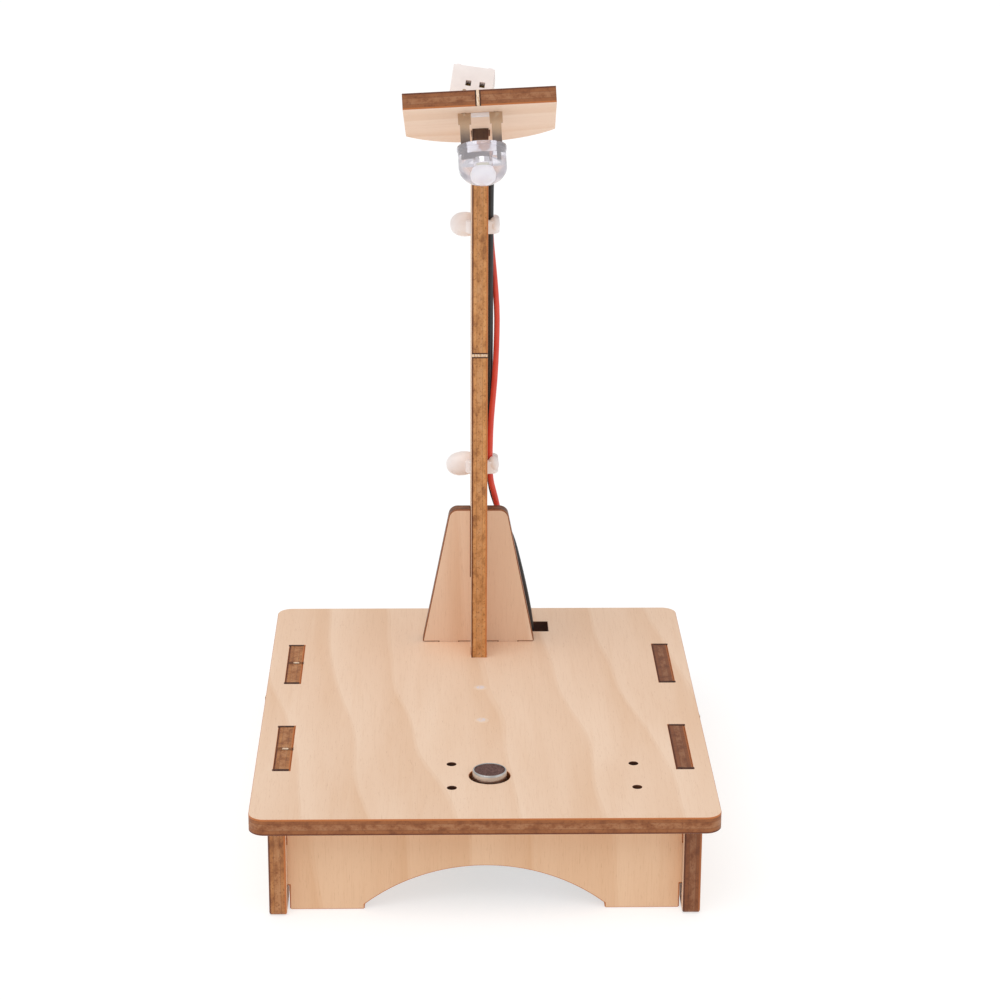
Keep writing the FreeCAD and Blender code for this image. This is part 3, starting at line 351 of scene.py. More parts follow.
def ply_board(node, middle, grain, side, cut_from, golden=0.0, tint_and_shade=0.0, blackened=0.0):
    """A board whose sheet coordinates run along its grain, across it and through its thickness.

    middle is a place half-way through the board, cut_from its place on the bought
    sheet, golden how lightly the laser browned its edges, blackened how much it
    charred them, and tint_and_shade how far its veneer is warmed and darkened: partly
    the board's own tone, and on the upright front and rear panels painted shade.
    The base's small holes are burnt black."""
    bm = merged(node)
    drilled = [Vector((0, row, BASE_TOP)) * MM for row in (-CELL_ROW, CELL_ROW)]
    sharp = [edge for edge in bm.edges if len(edge.link_faces) == 2
             and edge.calc_face_angle(0) > math.radians(40)
             and all((edge.verts[0].co - spot).length > 1.5 * MM for spot in drilled)]
    bmesh.ops.bevel(bm, geom=sharp, offset=SCORCHED_ARRIS, segments=1, affect="EDGES",
                    profile=0.5, clamp_overlap=True)
    piece = add_mesh("ply_" + node, bm)
    mesh = piece.data
    through = grain.cross(side)
    field = mesh.attributes.new("sheet", "FLOAT_VECTOR", "POINT")
    flat = []
    for vertex in mesh.vertices:
        arm = vertex.co - middle
        flat += [arm.dot(grain) + cut_from[0] * MM, arm.dot(side) + cut_from[1] * MM, arm.dot(through)]
    field.data.foreach_set("vector", flat)
    for name, level in (("light_edge", golden), ("warmth", tint_and_shade)):
        mesh.attributes.new(name, "FLOAT", "POINT").data.foreach_set("value", [level] * len(mesh.vertices))
    holes = BURNT_HOLES if node == "base_plate" else []
    burnt = [1.0 if any((vertex.co.xy - Vector(spot) * MM).length < reach * MM for spot, reach in holes)
             else blackened for vertex in mesh.vertices]
    mesh.attributes.new("char", "FLOAT", "POINT").data.foreach_set("value", burnt)
    stand_in(piece, plywood, node)


X_WAY, Y_WAY, Z_WAY = Vector((1, 0, 0)), Vector((0, 1, 0)), Vector((0, 0, 1))
head_turn = HEAD_FRAME.to_3x3()
ply_board("base_plate", Vector((0, 0, 17.5)) * MM, Y_WAY, X_WAY, (0, 0), 0.1, 0.42)
ply_board("left_leg", Vector((-35.3, 0, 8)) * MM, Z_WAY, Y_WAY, (220, 90), 0.4, 0.4)
ply_board("right_leg", Vector((35.3, 0, 8)) * MM, Z_WAY, Y_WAY, (260, 310), 0.0, 0.4, 0.25)
# The front and rear panels take the full warm tint, painted shade on these upright faces.
ply_board("front_panel", Vector((0, -44, 8)) * MM, Z_WAY, X_WAY, (130, 260), 0.3, 1.0)
ply_board("rear_panel", Vector((0, 44, 8)) * MM, Z_WAY, X_WAY, (170, 420), 0.3, 1.0)
ply_board("post", Vector((0, 33, 60)) * MM, Z_WAY, Y_WAY, (340, 150), 1.0, 0.4)
ply_board("post_brace", Vector((0, 33, 30)) * MM, Z_WAY, X_WAY, (410, 60), 0.1, 0.35, 0.5)
ply_board("head_plate", HEAD_FRAME @ (Vector((0, 0, 1.5)) * MM), head_turn @ X_WAY, head_turn @ Y_WAY,
          (480, 210), 0.1)


# ---------------------------------------------------------------- snapped bridges
# Short uncut bridges held each board in its sheet.  Where they were snapped off
# they leave a pale stub across the scorched edge with a black scar on each side.
# Thin black strips across the ends of the legs' tabs are painted shadow in the gap between tab and slot.

stub_finish = Finish("snapped_fibres", Roughness=0.8)
stub_fray = stub_finish.noise(stub_finish.stretch(stub_finish.place(), (4000, 4000, 900)), 1.0, 3.0)
stub_finish.give("Base Color", stub_fray.ramp((0.35, tone(204, 160, 118)), (0.62, tone(246, 224, 200))))
stub_finish.relief(stub_fray, 0.6, 0.1 * MM)

# Black char beside the snapped stubs. The same finish paints the shadow in the gaps at the tab ends.
scar_and_shadow_finish = Finish("charred_scar_and_painted_shadow", Roughness=0.85)
scar_mottle = scar_and_shadow_finish.noise(scar_and_shadow_finish.place(), 2600.0, 3.0)
scar_and_shadow_finish.mottle(scar_mottle, tone(38, 22, 16), tone(92, 52, 32))
scar_and_shadow_finish.relief(scar_mottle, 0.5, 0.05 * MM)


def repeated(name, unit, spots, finish, size=1.0):
    """One mesh of unit set out at each (place, turn): a small node tree that is then made plain."""
    points = bpy.data.meshes.new(name + "_spots")
    points.from_pydata([place for place, turn in spots], [], [])
    turns = points.attributes.new("turn", "FLOAT_VECTOR", "POINT")
    turns.data.foreach_set("vector", [angle for place, turn in spots for angle in turn])
    carrier = bpy.data.objects.new(name + "_carrier", points)
    bpy.context.collection.objects.link(carrier)

    tree = bpy.data.node_groups.new(name + "_set_out", "GeometryNodeTree")
    sockets = {}
    for label, kind in (("Spots", "NodeSocketGeometry"), ("Unit", "NodeSocketObject"),
                        ("Size", "NodeSocketFloat"), ("Finish", "NodeSocketMaterial")):
        sockets[label] = tree.interface.new_socket(label, in_out="INPUT", socket_type=kind).identifier
    tree.interface.new_socket("Pieces", in_out="OUTPUT", socket_type="NodeSocketGeometry")
    nodes, links = tree.nodes, tree.links
    start, end = nodes.new("NodeGroupInput"), nodes.new("NodeGroupOutput")
    info = nodes.new("GeometryNodeObjectInfo")
    turn = nodes.new("GeometryNodeInputNamedAttribute")
    turn.data_type = "FLOAT_VECTOR"
    turn.inputs["Name"].default_value = "turn"
    spin = nodes.new("FunctionNodeEulerToRotation")
    instances = nodes.new("GeometryNodeInstanceOnPoints")
    real = nodes.new("GeometryNodeRealizeInstances")
    coat = nodes.new("GeometryNodeSetMaterial")
    links.new(start.outputs["Unit"], info.inputs["Object"])
    links.new(turn.outputs[0], spin.inputs[0])
    links.new(start.outputs["Spots"], instances.inputs["Points"])
    links.new(info.outputs["Geometry"], instances.inputs["Instance"])
    links.new(spin.outputs[0], instances.inputs["Rotation"])
    links.new(start.outputs["Size"], instances.inputs["Scale"])
    links.new(instances.outputs[0], real.inputs[0])
    links.new(real.outputs[0], coat.inputs["Geometry"])
    links.new(start.outputs["Finish"], coat.inputs["Material"])
    links.new(coat.outputs[0], end.inputs[0])

    modifier = carrier.modifiers.new("set_out", "NODES")
    modifier.node_group = tree
    modifier[sockets["Unit"]] = unit
    modifier[sockets["Size"]] = size
    modifier[sockets["Finish"]] = finish.material
    bpy.context.view_layer.update()
    ready = carrier.evaluated_get(bpy.context.evaluated_depsgraph_get())
    mesh = bpy.data.meshes.new_from_object(ready)
    piece = bpy.data.objects.new(name, mesh)
    bpy.context.collection.objects.link(piece)
    for spare in (carrier, unit):
        bpy.data.objects.remove(spare)
    return piece


def chamfered_box(bm, size, place=(0, 0, 0), chamfer=0.1 * MM, segments=1, turn=0.0):
    """Adds a box with broken edges to a bmesh, turned about Z and centred on place."""
    made = bmesh.ops.create_cube(bm, size=1.0)["verts"]
    bmesh.ops.scale(bm, vec=size, verts=made)
    bmesh.ops.rotate(bm, matrix=Matrix.Rotation(turn, 3, "Z"), verts=made)
    bmesh.ops.translate(bm, vec=place, verts=made)
    edges = list(dict.fromkeys(edge for vertex in made for edge in vertex.link_edges))
    bmesh.ops.bevel(bm, geom=edges, offset=chamfer, segments=segments, affect="EDGES",
                    profile=0.7, clamp_overlap=True)


STUB_WIDE = 0.55 * MM
STUB_PROUD = 0.12 * MM
SCAR_WIDE = 0.26 * MM


def bridge_marks(name, spots, length):
    """A stub of the given length at each spot, with a full-width scar on each side of it."""
    bm = bmesh.new()
    chamfered_box(bm, (STUB_WIDE, 2 * STUB_PROUD, length), chamfer=0.08 * MM)
    stubs = repeated(name + "_stubs", add_mesh("stub", bm), spots, stub_finish)
    extra(stubs, stub_finish)
    bm = bmesh.new()
    for side in (-1, 1):
        chamfered_box(bm, (SCAR_WIDE, 0.10 * MM, PLY * 0.98),
                      (side * (STUB_WIDE / 2 + SCAR_WIDE / 2 - 0.03 * MM), 0, 0), 0.03 * MM)
    scars = repeated(name + "_scars", add_mesh("scar", bm), spots, scar_and_shadow_finish)
    extra(scars, scar_and_shadow_finish)


quarter = math.pi / 2
head_stub = HEAD_FRAME @ Vector((-0.25 * MM, -14.8 * MM, 1.5 * MM))
head_angles = tuple(head_turn.to_euler())
bridge_marks("snapped", [
    (head_stub, head_angles),
    (Vector((0, 23.0, 79.4)) * MM, (0, quarter, 0)),
    (Vector((0, 50.0, 17.5)) * MM, (0, 0, math.pi)),
    (Vector((-40.0, 4.0, 17.5)) * MM, (0, 0, -quarter)),
    (Vector((40.0, -6.0, 17.5)) * MM, (0, 0, quarter)),
    (Vector((-35.3, 48.0, 8.6)) * MM, (0, quarter, math.pi)),
    (Vector((35.3, 48.0, 8.6)) * MM, (0, quarter, math.pi)),
    (Vector((0, 43.0, 64.0)) * MM, (0, quarter, math.pi)),
], PLY)
flat_turn = (quarter, 0, quarter)
bridge_marks("tab", [(Vector((-35.1, y, BASE_TOP)) * MM, flat_turn) for y in (-20.5, 20.5)], 1.1 * MM)

# Painted shadow: thin black strips across the tab ends, where the gap between each tab and its slot lies in
# shade.
tab_end_mesh = bmesh.new()
chamfered_box(tab_end_mesh, (0.7 * MM, 0.08 * MM, PLY * 0.98), chamfer=0.03 * MM)
tab_ends = [(Vector((x, y, BASE_TOP)) * MM, flat_turn)
            for x in (-35.5, 35.5) for y in (-29.6, -10.4, 10.4, 29.6)]
tab_shadow = repeated("tab_end_char", add_mesh("tab_end", tab_end_mesh), tab_ends, scar_and_shadow_finish)
extra(tab_shadow, scar_and_shadow_finish)


# ---------------------------------------------------------------- screw points
# The two battery-holder screws come up from below until their points just lift
# the veneer.  A small pale lilac ring round each point is a painted glint of the metal tip.

screw_glint = Finish("painted_screw_glint", Roughness=0.6)
glint_place = screw_glint.place()
glint_fray = screw_glint.noise(screw_glint.stretch(glint_place, (3000, 900, 3000)), 1.0, 3.0)
glint_x, glint_y = screw_glint.parts(glint_place)[:2]
glint_off = glint_y.absolute() - CELL_ROW * MM
glint_reach = glint_x * glint_x + glint_off * glint_off
# Painted glint: a pale lilac ring round each screw point stands for the glint of its metal tip.
glint_ring = glint_reach.step((1.0 * MM) ** 2, (0.45 * MM) ** 2)
screw_glint.give("Base Color", screw_glint.mix(glint_ring * glint_fray.step(0.3, 0.6), tone(233, 203, 177),
                                     tone(222, 210, 212)))
screw_glint.relief(glint_fray, 0.4, 0.05 * MM)


def turned(name, profile, frame_matrix, steps=48, smooth_angle=32):
    """A solid of revolution: profile holds (radius, height) pairs in millimetres, bottom to top."""
    bm = bmesh.new()
    rings = []
    for radius, height in profile:
        if radius == 0:
            rings.append([bm.verts.new((0, 0, height * MM))])
        else:
            rings.append([bm.verts.new((radius * MM * math.cos(math.tau * step / steps),
                                        radius * MM * math.sin(math.tau * step / steps), height * MM))
                          for step in range(steps)])
    for low, high in zip(rings, rings[1:]):
        for step in range(steps):
            here, there = step % len(low), (step + 1) % len(low)
            up_here, up_there = step % len(high), (step + 1) % len(high)
            corners = [low[here], low[there], high[up_there], high[up_here]]
            bm.faces.new(list(dict.fromkeys(corners)))
    for ring in (rings[0], rings[-1]):
        if len(ring) > 1:
            bm.faces.new(ring)
    bmesh.ops.transform(bm, matrix=frame_matrix, verts=bm.verts)
    piece = add_mesh(name, bm, smooth=True)
    piece.data.set_sharp_from_angle(angle=math.radians(smooth_angle))
    return piece


for name, row in (("front", -CELL_ROW), ("rear", CELL_ROW)):
    rise = turned(name + "_screw_bruise", [(0.42, -0.1), (1.3, -0.1), (1.3, 0.005), (0.9, 0.06), (0.42, 0.1)],
                  Matrix.Translation(Vector((0, row, BASE_TOP)) * MM), 32, 60)
    extra(rise, screw_glint)


# ---------------------------------------------------------------- clear lamp
# A wide clear light-emitting diode, point down: cast resin with a flange at its
# root, round a stamped lead frame that carries the chip in a small bright cup.
# A white, faintly glowing pellet in the tip is a painted reflection of the bright surroundings seen in the
# dome.

LED_AXIS = Vector((0, -10.0, 0)) * MM
LEAD_Y = -10.4 * MM

resin = Finish("clear_cast_resin", IOR=1.46, Transmission_Weight=0.74, Roughness=0.05,
               Specular_IOR_Level=0.6)
resin_haze = resin.noise(resin.place(), 420.0, 2.0)
resin.mottle(resin_haze, tone(244, 241, 252), tone(252, 250, 255))
resin.relief(resin.noise(resin.place(), 260.0, 1.0), 0.06, 0.05 * MM)

dome = [(0, -13.1)] + [(4.3 * math.sin(math.radians(turn)), -9.9 - 3.2 * math.cos(math.radians(turn)))
                       for turn in range(6, 90, 6)]
led_profile = dome + [(4.3, -9.9), (4.3, -7.02), (4.35, -6.92), (4.44, -6.85), (4.45, -6.7), (4.45, -6.15),
                      (4.38, -6.02), (4.3, -6.0), (0, -6.0)]
lens = turned("led_lens_cast", led_profile, HEAD_FRAME @ Matrix.Translation(LED_AXIS), 64)
stand_in(lens, resin, "led_lens")

tinned = Finish("tinned_lead", Metallic=1.0)
tin_cloud = tinned.noise(tinned.place(), 900.0, 3.0)
tinned.mottle(tin_cloud, tone(150, 143, 135), tone(186, 178, 168))
tinned.give("Roughness", tin_cloud * 0.25 + 0.32)
tinned.relief(tin_cloud, 0.15, 0.02 * MM)


def soften(node, name, width, finish, segments=3, body="lamp"):
    """Puts a copy of a part of the frame in its place, with edges rounded by width millimetres."""
    sharp = math.radians(30)
    piece = add_mesh(name, merged(node), smooth=True)
    piece.data.set_sharp_from_angle(angle=sharp)
    rounding = piece.modifiers.new("rounding", "BEVEL")
    rounding.width = width * MM
    rounding.segments = segments
    rounding.limit_method = "ANGLE"
    rounding.angle_limit = sharp
    rounding.harden_normals = True
    stand_in(piece, finish, node, body)


stamped = Finish("stamped_lead_painted_reflection", Metallic=1.0)
stamp_cloud = stamped.noise(stamped.place(), 700.0, 3.0)
# Painted reflection: the leads are dark near the lamp and tan near the head plate, the plate's underside
# mirrored in them.
lead_reflection_height = stamped.parts(stamped.place())[2] + stamp_cloud * 1.5 * MM
stamped.give("Base Color", stamped.mix(lead_reflection_height.step(122.4 * MM, 126.4 * MM), tone(104, 92, 88),
                                       tone(204, 176, 148)))
stamped.give("Roughness", stamp_cloud * 0.25 + 0.38)
soften("led_leads", "led_lead_frame", 0.06, stamped, 2)

cup_frame = HEAD_FRAME @ Matrix.Translation(Vector((0, LEAD_Y, 0)))
bright_cup = Finish("bright_reflector", Metallic=1.0, Roughness=0.12)
cup_sheen = bright_cup.noise(bright_cup.place(), 1500.0, 2.0)
bright_cup.mottle(cup_sheen, tone(226, 224, 222), tone(244, 243, 242))
cup = turned("led_reflector_cup", [(0, -9.0), (0.75, -9.05), (0.98, -9.42), (1.14, -9.45), (1.2, -9.35),
                                   (1.14, -8.3), (0, -8.3)], cup_frame, 32)
extra(cup, bright_cup)

# Painted reflection: a white pellet that glows a little stands for the bright white disc seen in the lens
# tip.
tip_reflection_finish = Finish("painted_tip_reflection", Roughness=0.3, Emission_Strength=0.25, Emission_Color=(1, 1, 1, 1))
tip_reflection_cloud = tip_reflection_finish.noise(tip_reflection_finish.place(), 900.0, 2.0)
tip_reflection_finish.mottle(tip_reflection_cloud, tone(250, 250, 252), tone(255, 255, 255))
tip_reflection_profile = [(0, -12.2), (0.8, -12.1), (1.45, -11.7), (1.75, -11.1), (1.7, -10.3), (1.3, -9.7),
                  (0, -9.5)]
tip_reflection = turned("led_diffuser", tip_reflection_profile, HEAD_FRAME @ Matrix.Translation(LED_AXIS), 40, 60)
extra(tip_reflection, tip_reflection_finish)

phosphor = Finish("phosphor_coat", Roughness=0.7)
phosphor_grain = phosphor.noise(phosphor.place(), 6000.0, 3.0)
phosphor.mottle(phosphor_grain, tone(238, 232, 206), tone(246, 242, 226))
phosphor.relief(phosphor_grain, 0.3, 0.02 * MM)
dress("led_chip", phosphor)

nylon = Finish("white_nylon", Roughness=0.42, Specular_IOR_Level=0.45, Sheen_Weight=0.12)
nylon.mottle(nylon.noise(nylon.place(), 350.0, 2.0), tone(241, 232, 230), tone(247, 240, 238))
nylon.relief(nylon.noise(nylon.place(), 5200.0, 3.0), 0.12, 0.03 * MM)
soften("lead_spacer", "lead_spacer_strip", 0.12, nylon)


# ---------------------------------------------------------------- two-way plug
# A small white nylon plug housing lies askew on the head plate.  The lead pins
# go into its two ways; brass contacts sit behind the mouths.

soften("plug_housing", "plug_shell", 0.18, nylon)

brass = Finish("contact_brass", Metallic=1.0)
brass_wear = brass.noise(brass.place(), 1400.0, 3.0)
brass.mottle(brass_wear, tone(176, 140, 82), tone(214, 184, 122))
brass.give("Roughness", brass_wear * 0.3 + 0.22)
soften("plug_contacts", "plug_contact_pair", 0.12, brass)


# ---------------------------------------------------------------- cable ties
# Two nylon ties pass through slots in the post and round the wires.  Each has a
# thin strap, an oval locking head on the left and a knuckle where it is bent.

TIE_LEFT, TIE_RIGHT, TIE_FRONT, TIE_BACK, TIE_THICK = -2.6, 3.85, 33.9, 40.1, 1.0
tie_nylon = Finish("tie_nylon", Roughness=0.38, Specular_IOR_Level=0.5, Sheen_Weight=0.1)
tie_nylon.mottle(tie_nylon.noise(tie_nylon.place(), 300.0, 2.0), tone(244, 234, 231), tone(250, 243, 241))
tie_nylon.relief(tie_nylon.noise(tie_nylon.place(), 3600.0, 2.0), 0.1, 0.03 * MM)


def strap_ring(inset, corner, steps=6):
    """Places round the strap, seen from above in millimetres, inset from its outer face."""
    places = []
    left, right = TIE_LEFT + inset + corner, TIE_RIGHT - inset - corner
    front, rear = TIE_FRONT + inset + corner, TIE_BACK - inset - corner
    for centre_x, centre_y, start in ((right, rear, 0), (left, rear, 90),
                                      (left, front, 180), (right, front, 270)):
        for step in range(steps + 1):
            turn = math.radians(start + 90 * step / steps)
            places.append((centre_x + corner * math.cos(turn), centre_y + corner * math.sin(turn)))
    return places


def cable_tie(name, height, lean, drop, length):
    """A tie at a height: its locking head leans, is length millimetres long and hides the tail."""
    bm = bmesh.new()
    outer, inner = strap_ring(0, 1.4), strap_ring(TIE_THICK, 0.4)
    middle_x, middle_y = (TIE_LEFT + TIE_RIGHT) / 2, (TIE_FRONT + TIE_BACK) / 2
    rings = []
    for places, shrink, up in ((outer, 0.0, -1.05), (outer, 0.0, 1.05), (outer, 0.2, 1.25),
                               (inner, -0.2, 1.25), (inner, 0.0, 1.05), (inner, 0.0, -1.05),
                               (inner, -0.2, -1.25), (outer, 0.2, -1.25)):
        rings.append([bm.verts.new(Vector((x - math.copysign(shrink, x - middle_x),
                                           y - math.copysign(shrink, y - middle_y), height + up)) * MM)
                      for x, y in places])
    for low, high in zip(rings, rings[1:] + rings[:1]):
        for step in range(len(low)):
            after = (step + 1) % len(low)
            bm.faces.new((low[step], low[after], high[after], high[step]))
    strap = add_mesh(name + "_strap", bm, smooth=True)
    strap.data.set_sharp_from_angle(angle=math.radians(40))
    stand_in(strap, tie_nylon, name)

    bm = bmesh.new()
    bmesh.ops.create_uvsphere(bm, u_segments=36, v_segments=20, radius=1.0)
    for vertex in bm.verts:
        vertex.co = Vector([math.copysign(abs(level) ** 0.92, level) for level in vertex.co])
        vertex.co.x *= (length / 2 + 0.8) * MM
        vertex.co.y *= 2.25 * MM
        vertex.co.z *= 2.3 * MM
    bmesh.ops.rotate(bm, matrix=Matrix.Rotation(lean, 3, "Y"), verts=bm.verts)
    bmesh.ops.translate(bm, vec=Vector((-0.75 - length / 2, 37.0, height)) * MM, verts=bm.verts)
    head = add_mesh(name + "_head", bm, smooth=True)
    extra(head, tie_nylon)

    bm = bmesh.new()
    bmesh.ops.create_uvsphere(bm, u_segments=28, v_segments=16, radius=1.0)
    bmesh.ops.scale(bm, vec=Vector((1.05, 1.5, 1.45)) * MM, verts=bm.verts)
    bmesh.ops.rotate(bm, matrix=Matrix.Rotation(lean, 3, "Y"), verts=bm.verts)
    bmesh.ops.translate(bm, vec=Vector((2.9, 35.2, height + drop)) * MM, verts=bm.verts)
    knuckle = add_mesh(name + "_knuckle", bm, smooth=True)
    extra(knuckle, tie_nylon)


cable_tie("upper_cable_tie", 101.2, 0.0, 0.3, 3.9)
cable_tie("lower_cable_tie", 53.9, math.radians(-8), 0.5, 4.7)


# ---------------------------------------------------------------- wires
# Thin hook-up wire in soft vinyl, red and black.  The lamp wires run from the
# plug to the board; the shorter pair joins the battery holder to the board.

for colour, gloss, dark, light in (("red", 0.34, tone(216, 54, 34), tone(232, 76, 52)),
                                   ("black", 0.36, tone(24, 22, 24), tone(44, 41, 43))):
    vinyl = Finish(colour + "_vinyl", Roughness=gloss, Coat_Weight=0.15, Coat_Roughness=0.3)
    vinyl.mottle(vinyl.noise(vinyl.place(), 240.0, 3.0), dark, light)
    vinyl.relief(vinyl.noise(vinyl.place(), 1800.0, 2.0), 0.08, 0.05 * MM)
    for length in ("wire", "battery_lead"):
        dress(f"{colour}_{length}", vinyl)


# ---------------------------------------------------------------- microphone
# An electret capsule: a pressed aluminium can whose rim is rolled in over a disc
# of dark felt.  It stands on the circuit board and looks out of the base.

MIC_X, MIC_Y = 1.0, -32.4
CAN_LOW = 15.2
aluminium = Finish("pressed_aluminium", Metallic=1.0)
can_scuff = aluminium.noise(aluminium.stretch(aluminium.place(), (500, 500, 3500)), 1.0, 3.0)
aluminium.mottle(can_scuff, tone(188, 186, 184), tone(226, 225, 224))
aluminium.give("Roughness", can_scuff * 0.25 + 0.2)
aluminium.relief(can_scuff, 0.08, 0.02 * MM)
mic_frame = Matrix.Translation(Vector((MIC_X, MIC_Y, CAN_LOW)) * MM)
can_profile = [(0, 0), (2.75, 0), (2.95, 0.08), (3.0, 0.25), (3.0, 4.6), (2.97, 4.82), (2.88, 4.96),
               (2.76, 5.0), (2.7, 4.97), (2.66, 4.86), (2.66, 4.58), (0, 4.58)]
can = turned("microphone_shell", can_profile, mic_frame, 64)
stand_in(can, aluminium, "microphone_can")

felt = Finish("microphone_felt", Roughness=0.95, Specular_IOR_Level=0.05)
felt_wool = felt.noise(felt.place(), 3200.0, 4.0, 0.7, 1.5)
felt.give("Base Color", felt_wool.ramp((0.32, tone(60, 44, 42)), (0.68, tone(132, 102, 96))))
felt.relief(felt_wool, 0.9, 0.12 * MM)
felt_steps = [(0, 4.58), (2.66, 4.58), (2.66, 4.78), (2.55, 4.86), (2.1, 4.9), (1.2, 4.92), (0, 4.93)]
wool = turned("felt_disc", felt_steps, mic_frame, 48, 60)
stand_in(wool, felt, "microphone_felt")


# ---------------------------------------------------------------- circuit board
# A single-sided glass-fibre board under the base, with its tracks, solder joints
# and components facing the floor.  Four small screws and washers hold it.

BOARD_LOW, BOARD_THICK = 13.6, 1.6
mask = Finish("green_solder_mask", Coat_Weight=0.4, Coat_Roughness=0.12)
mask_place = mask.place()
mask_weave = mask.noise(mask.stretch(mask_place, (2600, 2600, 2600)), 1.0, 2.0)
mask_cloud = mask.noise(mask_place, 120.0, 2.0)
mask_green = mask.mix(mask_cloud, tone(28, 92, 50), tone(36, 108, 60))
mask.give("Base Color", mask.mix(mask_weave * 0.35, mask_green, tone(60, 128, 78)))
mask.give("Roughness", mask_weave * 0.15 + 0.3)
mask.relief(mask_weave, 0.1, 0.02 * MM)
soften("circuit_board", "circuit_board_panel", 0.1, mask, 2)

track_mask = Finish("mask_over_copper", Coat_Weight=0.4, Coat_Roughness=0.12, Roughness=0.32)
track_cloud = track_mask.noise(track_mask.place(), 700.0, 2.0)
track_mask.mottle(track_cloud, tone(52, 130, 68), tone(66, 148, 80))
track_mask.relief(track_cloud, 0.08, 0.02 * MM)


def track(bm, corners, width):
    """A flat copper track through the corners, in millimetres, just proud of the board's lower face."""
    for (x1, y1), (x2, y2) in zip(corners, corners[1:]):
        run = Vector((x2 - x1, y2 - y1))
        middle = Vector(((x1 + x2) / 2, (y1 + y2) / 2, BOARD_LOW - 0.015)) * MM
        chamfered_box(bm, ((run.length + width) * MM, width * MM, 0.05 * MM), middle, 0.015 * MM,
                      turn=math.atan2(run.y, run.x))


TRACKS = [
    [(20.4, -26.2), (20.4, -28.6), (19.0, -30.0), (14.6, -30.0), (13.8, -30.2)],
    [(23.2, -26.2), (23.2, -28.4), (26.6, -29.6), (26.6, -35.0), (24.0, -38.6), (18.0, -39.3)],
    [(4.6, -30.2), (2.2, -31.6), (2.2, -34.2)],
    [(4.6, -28.1), (1.4, -28.9), (-0.4, -30.6)],
    [(4.6, -26.0), (0.4, -26.2)],
    [(-2.6, -26.2), (-7.2, -28.4), (-7.2, -36.0), (-4.0, -38.9), (10.0, -39.4)],
    [(13.8, -26.0), (16.8, -26.6), (16.8, -28.4)],
    [(13.8, -28.1), (15.2, -29.4)],
    [(9.6, -32.2), (9.6, -31.0), (14.0, -31.6), (21.4, -31.4)],
]
tracks_mesh = bmesh.new()
for corners in TRACKS:
    track(tracks_mesh, corners, 0.7)
tracks = add_mesh("copper_tracks", tracks_mesh)
extra(tracks, track_mask)

solder = Finish("bright_solder", Metallic=1.0)
solder_cloud = solder.noise(solder.place(), 1100.0, 2.0)
solder.mottle(solder_cloud, tone(186, 186, 188), tone(226, 226, 228))
solder.give("Roughness", solder_cloud * 0.3 + 0.14)
solder.relief(solder_cloud, 0.2, 0.03 * MM)


def fillet_profile(root, tip, height, steps=6):
    """A hollow-sided cone of solder, tip down: (radius, height) pairs from its tip to its root."""
    pairs = [(0, -height)]
    for step in range(steps + 1):
        share = step / steps
        pairs.append((tip + (root - tip) * share ** 2.2, -height * (1 - share)))
    return pairs + [(root, 0.05), (0, 0.05)]


def board_spots(spots, height=BOARD_LOW, twist=0.3):
    """Each (x, y) in millimetres as a place at a height, with a turn of its own."""
    return [((x * MM, y * MM, height * MM), (0, 0, twist * x)) for x, y in spots]


LEAD_SPOTS = [(4.6, -30.2), (4.6, -28.1), (4.6, -26.0), (13.8, -30.2), (13.8, -28.1), (13.8, -26.0)]
WIRE_SPOTS = [(20.4, -26.2), (23.2, -26.2), (0.4, -26.2), (-2.6, -26.2)]
wire_cone = turned("wire_cone", fillet_profile(1.05, 0.58, 1.15), Matrix.Identity(4), 24)
wire_joints = repeated("wire_joints", wire_cone, board_spots(WIRE_SPOTS), solder)
stand_in(wire_joints, solder, "solder_joints")
lead_cone = turned("lead_cone", fillet_profile(0.75, 0.27, 0.5), Matrix.Identity(4), 20)
lead_joints = repeated("lead_joints", lead_cone, board_spots(LEAD_SPOTS), solder)
extra(lead_joints, solder)

zinc = Finish("zinc_screw", Metallic=1.0)
zinc_cloud = zinc.noise(zinc.place(), 1300.0, 3.0)
zinc.mottle(zinc_cloud, tone(170, 170, 172), tone(206, 206, 208))
zinc.give("Roughness", zinc_cloud * 0.25 + 0.24)
zinc.relief(zinc_cloud, 0.1, 0.02 * MM)
soften("board_screws", "board_screw_set", 0.12, zinc)
washer = turned("washer", [(0.8, 0), (1.7, 0), (1.8, 0.1), (1.8, 0.7), (1.7, 0.8), (0.8, 0.8)],
                Matrix.Identity(4), 32)
washer_faces = bmesh.new()
washer_faces.from_mesh(washer.data)
bmesh.ops.delete(washer_faces, geom=[face for face in washer_faces.faces if len(face.verts) > 4],
                 context="FACES_ONLY")
bmesh.ops.bridge_loops(washer_faces, edges=[edge for edge in washer_faces.edges if edge.is_boundary])
bmesh.ops.recalc_face_normals(washer_faces, faces=washer_faces.faces)
washer_faces.to_mesh(washer.data)
washer_faces.free()
washers = repeated("washer_set", washer, board_spots(BOARD_SCREWS, BOARD_LOW + BOARD_THICK, 0.2), nylon)
stand_in(washers, nylon, "board_washers")


# ---------------------------------------------------------------- components
# Through-hole parts on the board's lower side: a sound amplifier chip, three
# resistors, a capacitor, a transistor, a slide switch and a blue trimmer.  The
# black battery tray is moulded in the same plastic as the chip.

moulded = Finish("black_moulding", Specular_IOR_Level=0.45)
mould_place = moulded.place()
mould_grain = moulded.noise(mould_place, 2400.0, 3.0)
mould_cloud = moulded.noise(mould_place, 90.0, 2.0)
moulded.mottle(mould_cloud, tone(28, 28, 30), tone(42, 42, 44))
moulded.give("Roughness", mould_grain * 0.2 + 0.42)
moulded.relief(mould_grain, 0.18, 0.03 * MM)

